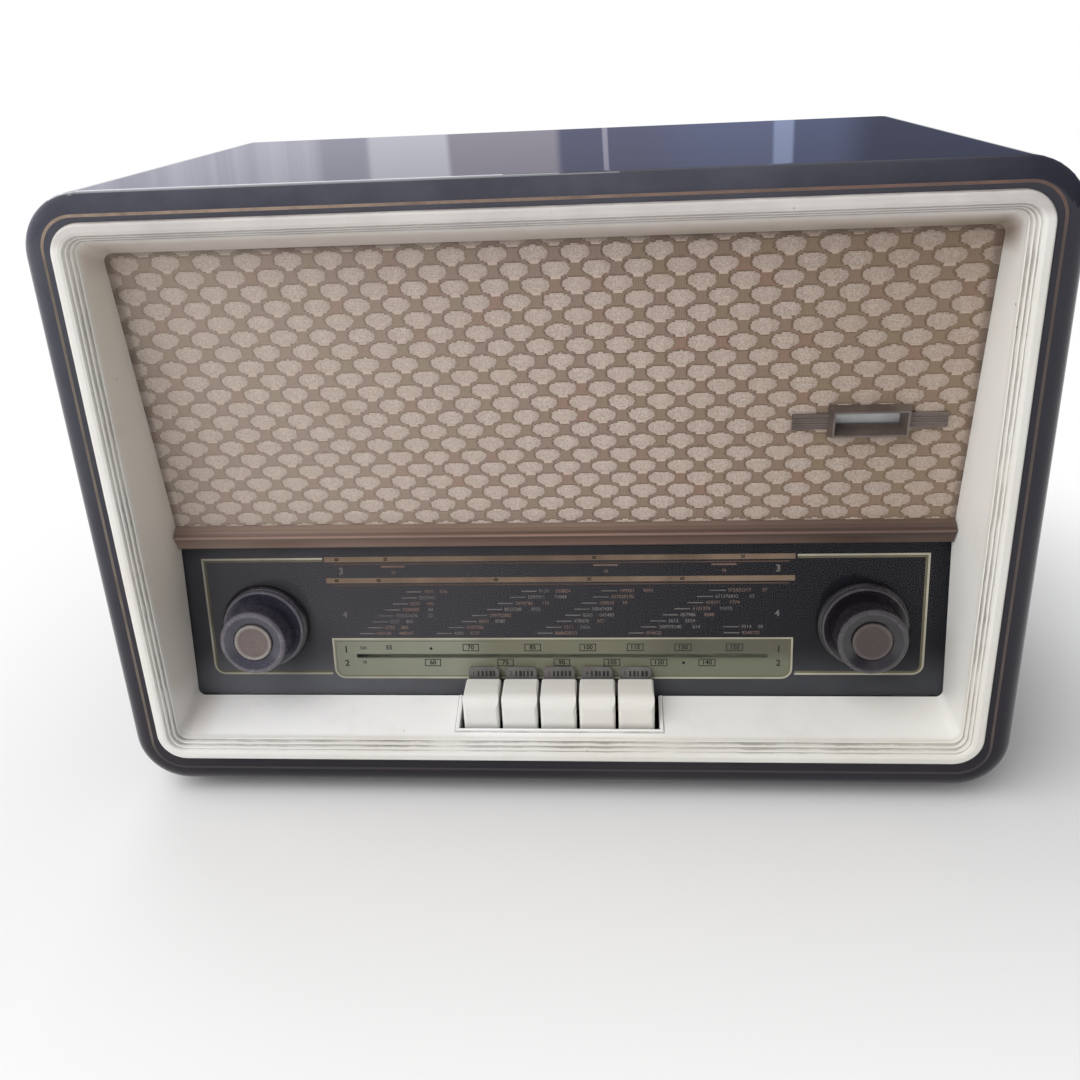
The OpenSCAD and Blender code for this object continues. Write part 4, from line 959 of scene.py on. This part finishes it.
def dark_marks():
    """Boxed numbers and end marks of the green band, and the small numbers on the two long strips."""
    marks = []
    for row, z in ((UPPER, UPPER_Z), (LOWER, LOWER_Z)):
        for x, body in row:
            marks.append(text_mesh(body, x, z, 3.9, 0.1))
            # All but the lowest number stand in boxes
            if body != "55":
                marks.append(shape_mesh(ring(rect(x - BOX_X, x + BOX_X, z - BOX_Z, z + BOX_Z), 0.5), PRINT_Y))
    for z, body in ((27.0, "530"), (17.8, "18")):
        marks.append(text_mesh(body, -116.6, z, 2.6, 0.05))
    for x in (-END_X, END_X):
        marks.append(text_mesh("1", x, 26.0, 5.8, 0.12))
        marks.append(text_mesh("2", x, 17.2, 5.4, 0.12))
    for x, z in ((-75.8, 26.7), (72.7, 17.5)):
        marks.append(shape_mesh([circle(x, z, 0.9, 12)], PRINT_Y))
    for z, (start, xs) in zip(STRIP_ROWS, STRIP_NUMBERS):
        for i, x in enumerate(xs):
            marks.append(text_mesh(str(start + 5 * i), x, z, 2.5, 0.12))
    return marks


# Place marks stand in slanting columns: where each begins in the first row, and how far each row moves on.
# The last two rows have one mark more, and none passes the right end of the band.
MARK_ROWS, MARK_TOP, MARK_PITCH, DASH = 8, 62.9, 3.78, 9.0
MARK_COLUMNS = [(-87.8, -4.3), (-20.1, -7.3), (25.8, -5.5), (87.4, -6.6)]
MARK_MORE, MARK_RIGHT, DIGIT, DIGIT_GAP = 95.0, 121.0, 1.95, 1.8
rng = random.Random(7)


def place_marks():
    """A short dash and random digits at each place, in grey and in rust; then the marks beside them."""
    pale, rusty = [], []
    for row in range(MARK_ROWS):
        z = MARK_TOP - row * MARK_PITCH
        starts = [first + lean * row for first, lean in MARK_COLUMNS]
        if row >= MARK_ROWS - 2:
            starts.append(MARK_MORE)
        for start in starts:
            start += rng.uniform(-1.0, 1.0)
            last = min(start + rng.uniform(24, 38), MARK_RIGHT)
            pale.append(shape_mesh([rect(start, start + DASH, z - 0.3, z + 0.3)], PRINT_Y))
            x = start + DASH + 1.3
            while x < last - 3:
                digits = min(rng.choice((4, 6, 7, 9)), max(2, int((last - x) / DIGIT)))
                body = "".join(str(rng.randrange(10)) for _ in range(digits))
                target = rusty if rng.random() < 0.6 else pale
                target.append(text_mesh(body, x, z, 2.9, 0.03, "LEFT"))
                x += digits * DIGIT + DIGIT_GAP
    for x in (-125.8, 125.8):
        pale.append(text_mesh("3", x, 76.0, 5.6, 0.16))
        pale.append(text_mesh("4", x, 48.5, 5.2, 0.14))
    for x in (-95.0, 28.5, 95.4):
        rusty.append(text_mesh("10", x, 75.0, 2.5, 0.1))
        rusty.append(shape_mesh([rect(x - 7, x + 7, 78.3, 79.3)], PRINT_Y))
    return pale, rusty


# Marks on the label tabs: depth before the glass, and heights
TAB_Y, TAB_DIGIT_Z, TAB_LOW, TAB_TOP = -1.03, 12.2, 10.5, 13.9


def tab_marks():
    """A digit and five short bars on each label tab."""
    marks = []
    for i in range(5):
        x = (i - 2) * KEY_PITCH
        marks.append(text_mesh(str(i + 1), x - 6.0, TAB_DIGIT_Z, 3.6, y=TAB_Y))
        for k in range(5):
            bar = rng.uniform(0.9, 1.7)
            left = x - 3.6 + k * 2.3
            marks.append(shape_mesh([rect(left, left + bar, TAB_LOW, TAB_TOP)], TAB_Y))
    return marks


layer("dial_dark_marks", dark_marks(), ink)
pale_marks, rust_marks = place_marks()
layer("dial_pale_marks", pale_marks, grey)
layer("dial_rust_marks", rust_marks, rust)
tab_ink = print_ink("tab_ink", (56, 54, 54), (46, 44, 45), 80)
layer("label_marks", tab_marks(), tab_ink, "label_strip")

# Thin ivory cheeks down both sides of the gap that the keys stand in
CHEEK_INNER, CHEEK_OUTER = 57.7, 58.46
CHEEK_OUTLINE = [(10.6, 26.0), (10.6, 41.4), (32.0, 48.4), (32.0, 26.0)]


def cheek(side):
    """A flat plate, from its outline in depth behind the front edge and height."""
    bm = bmesh.new()
    faces = []
    for x in (CHEEK_INNER, CHEEK_OUTER):
        faces.append([bm.verts.new((side * x * MM, (FRONT + d) * MM, z * MM)) for d, z in CHEEK_OUTLINE])
    bm.faces.new(faces[0])
    bm.faces.new(faces[1][::-1])
    for i in range(4):
        j = (i + 1) % 4
        bm.faces.new((faces[0][i], faces[1][i], faces[1][j], faces[0][j]))
    bmesh.ops.recalc_face_normals(bm, faces=bm.faces[:])
    return mesh_from(bm, "cheek")


layer("key_well_cheeks", [cheek(-1), cheek(1)], MATERIALS["ivory_plastic"], "ivory_plastic")

# Camera at the photograph's angle
FRAME_PX, FOCAL_PX, CENTRE_X_PX, CENTRE_Y_PX, SENSOR = 1080, 995.37, 539.17, 432.93, 36
CAMERA_AT = (0.0369, -0.59215, 0.4051)
CAMERA_TURNS = ((-1.04, "Z"), (4.52, "Y"), (21.12, "X"))


def add_camera():
    data = bpy.data.cameras.new("camera")
    data.sensor_width = SENSOR
    data.lens = FOCAL_PX / FRAME_PX * SENSOR
    data.shift_x = (FRAME_PX / 2 - CENTRE_X_PX) / FRAME_PX
    data.shift_y = (CENTRE_Y_PX - FRAME_PX / 2) / FRAME_PX
    view = Matrix.Identity(3)
    for degrees, axis in CAMERA_TURNS:
        view = view @ Matrix.Rotation(math.radians(degrees), 3, axis)
    # The picture's axes run right, down and away; the camera's run right, up and back
    view = view @ Matrix(((1, 0, 0), (0, 0, -1), (0, 1, 0)))
    axes = Matrix((view[0], -view[1], -view[2])).transposed()
    camera = in_scene("camera", data)
    camera.matrix_world = Matrix.Translation(CAMERA_AT) @ axes.to_4x4()
    bpy.context.scene.camera = camera


FLOOR_HALF, FADE_END = 6, 0.3
CABINET_HALF_X, CABINET_HALF_Y = 0.25, 0.134


def floor_material():
    """Pale floor: near the object its shadow stays, and away from it the floor runs into the background."""
    s = Shade("floor")
    s.set(Base_Color=(0.84, 0.84, 0.84, 1), Roughness=0.9, Specular_IOR_Level=0.1)
    beyond = []
    for axis, half in ((s.x, CABINET_HALF_X), (s.y, CABINET_HALF_Y)):
        beyond.append(s.most(s.minus(s.math("ABSOLUTE", axis), half), 0.0))
    path = s.new("ShaderNodeLightPath").outputs
    seen = s.most(path["Is Glossy Ray"], path["Is Transmission Ray"])
    seen = s.most(path["Is Camera Ray"], seen)
    white = s.new("ShaderNodeEmission")
    fade = s.new("ShaderNodeMixShader")
    s.put(fade.inputs[0], s.times(seen, s.step(s.distance(*beyond), 0.0, FADE_END)))
    s.put(fade.inputs[1], s.bsdf.outputs[0])
    s.put(fade.inputs[2], white.outputs[0])
    s.put(s.tree.nodes["Material Output"].inputs["Surface"], fade.outputs[0])
    return s.mat


def make_floor():
    bm = bmesh.new()
    bmesh.ops.create_grid(bm, x_segments=8, y_segments=8, size=FLOOR_HALF)
    obj = in_scene("floor", mesh_from(bm, "floor"))
    obj.data.materials.append(floor_material())
    return obj


add_camera()
floor = make_floor()


class Sky(Shade):
    """The same short ways, for the world's nodes."""

    def __init__(self):
        self.world = bpy.data.worlds.new("world")
        self.world.use_nodes = True
        self.tree = self.world.node_tree
        self.obj = self.new("ShaderNodeTexCoord").outputs["Generated"]
        split = self.new("ShaderNodeSeparateXYZ")
        self.put(split.inputs[0], self.obj)
        self.x, self.y, self.z = split.outputs

    def light(self, colour, strength):
        n = self.new("ShaderNodeBackground")
        return self.fill(n, Color=colour, Strength=strength).outputs[0]

    def either(self, fac, a, b):
        n = self.new("ShaderNodeMixShader")
        for i, v in enumerate((fac, a, b)):
            self.put(n.inputs[i], v)
        return n.outputs[0]


# The mirrored room from left to right, by bearing: distance sideways over distance ahead
DARK_FOLD, PANE_LEFT, PANE_RIGHT, WINDOW_END = -0.262, -0.2365, -0.1605, -0.053
THIN_LINE, DUSK_FROM, DUSK_FULL, DOOR_EDGE, CORNER_FROM, CORNER_FULL = -0.007, 0.02, 0.1, 0.162, 0.205, 0.25


def mirrored_room(sky):
    """What gloss mirrors: a room with a curtain and a pane on the left, and dusky on the right."""
    bearing = sky.math("DIVIDE", sky.x, sky.most(sky.y, 0.05))
    bearing = sky.plus(bearing, sky.span(sky.noise(3.0, 2), 0.3, 0.7, -0.004, 0.004))
    strip = sky.new("ShaderNodeCombineXYZ")
    sky.put(strip.inputs[0], bearing)
    folds = sky.noise(22.0, 4, 0.7, strip.outputs[0])
    past_left = sky.step(bearing, PANE_LEFT - 0.0035, PANE_LEFT + 0.0035)
    past_right = sky.step(bearing, PANE_RIGHT - 0.0035, PANE_RIGHT + 0.0035)
    pane = sky.times(past_left, sky.minus(1.0, past_right))
    curtain = sky.mix(sky.step(folds, 0.35, 0.65), (0.6, 0.6, 0.71, 1), (0.77, 0.77, 0.89, 1))
    curtain = sky.mix(band(sky, bearing, DARK_FOLD, 0.018, 0.012), curtain, (0.5, 0.5, 0.6, 1))
    curtain = sky.mix(pane, curtain, (0.8, 0.8, 0.9, 1))
    curtain = sky.mix(past_right, curtain, (0.46, 0.44, 0.52, 1))
    dusk = sky.mix(sky.step(bearing, DUSK_FROM, DUSK_FULL), (0.19, 0.2, 0.3, 1), (0.2, 0.225, 0.36, 1))
    dusk = sky.mix(sky.step(bearing, DOOR_EDGE + 0.003, DOOR_EDGE + 0.013), dusk, (0.16, 0.185, 0.3, 1))
    dusk = sky.mix(band(sky, bearing, DOOR_EDGE, 0.007, 0.004), dusk, (0.4, 0.47, 0.7, 1))
    dusk = sky.mix(band(sky, bearing, THIN_LINE, 0.0018, 0.0014), dusk, (0.5, 0.5, 0.62, 1))
    dusk = sky.mix(sky.step(bearing, CORNER_FROM, CORNER_FULL), dusk, (0.1, 0.11, 0.165, 1))
    return sky.mix(sky.step(bearing, WINDOW_END - 0.005, WINDOW_END + 0.005), curtain, dusk)


def add_world():
    """White for the camera, a soft even light for the object, and the room for what gloss mirrors."""
    sky = Sky()
    bpy.context.scene.world = sky.world
    path = sky.new("ShaderNodeLightPath").outputs
    behind = sky.times(sky.step(sky.y, -0.45, -0.2), sky.step(sky.z, 0.5, 0.25))
    ahead = sky.mix(sky.step(sky.x, 0.15, 0.5), (0.5, 0.5, 0.56, 1), (0.13, 0.14, 0.19, 1))
    mirrored = sky.mix(behind, ahead, mirrored_room(sky))
    # Low down, gloss mirrors the white background
    mirrored = sky.mix(sky.step(sky.z, 0.02, 0.005), mirrored, (1.0, 1.0, 1.0, 1))
    gloss = sky.most(path["Is Glossy Ray"], path["Is Transmission Ray"])
    light = sky.either(gloss, sky.light((0.97, 0.98, 1.0, 1), 0.36), sky.light(mirrored, 1.0))
    light = sky.either(path["Is Camera Ray"], light, sky.light((1, 1, 1, 1), 1.0))
    sky.put(sky.tree.nodes["World Output"].inputs["Surface"], light)


def area(name, place, target, size, power, colour):
    """A square lamp that faces its target."""
    data = bpy.data.lights.new(name, "AREA")
    data.shape = "RECTANGLE"
    data.size, data.size_y = size, size
    data.energy = power
    data.color = colour
    obj = in_scene(name, data)
    obj.location = place
    obj.rotation_euler = (Vector(target) - Vector(place)).to_track_quat("-Z", "Y").to_euler()
    return obj


add_world()
key = area("key", place=(-2.3, -1.9, 3.2), target=(0, 0, 0.15), size=5.0, power=210, colour=(1.0, 0.99, 0.98))
# The gloss doesn't mirror this large lamp
key.visible_glossy = False
area("back", place=(-1.6, 3.2, 2.4), target=(0, 0, 0.2), size=3.0, power=50, colour=(0.96, 0.98, 1.0))

bpy.context.scene.view_settings.view_transform = "Standard"
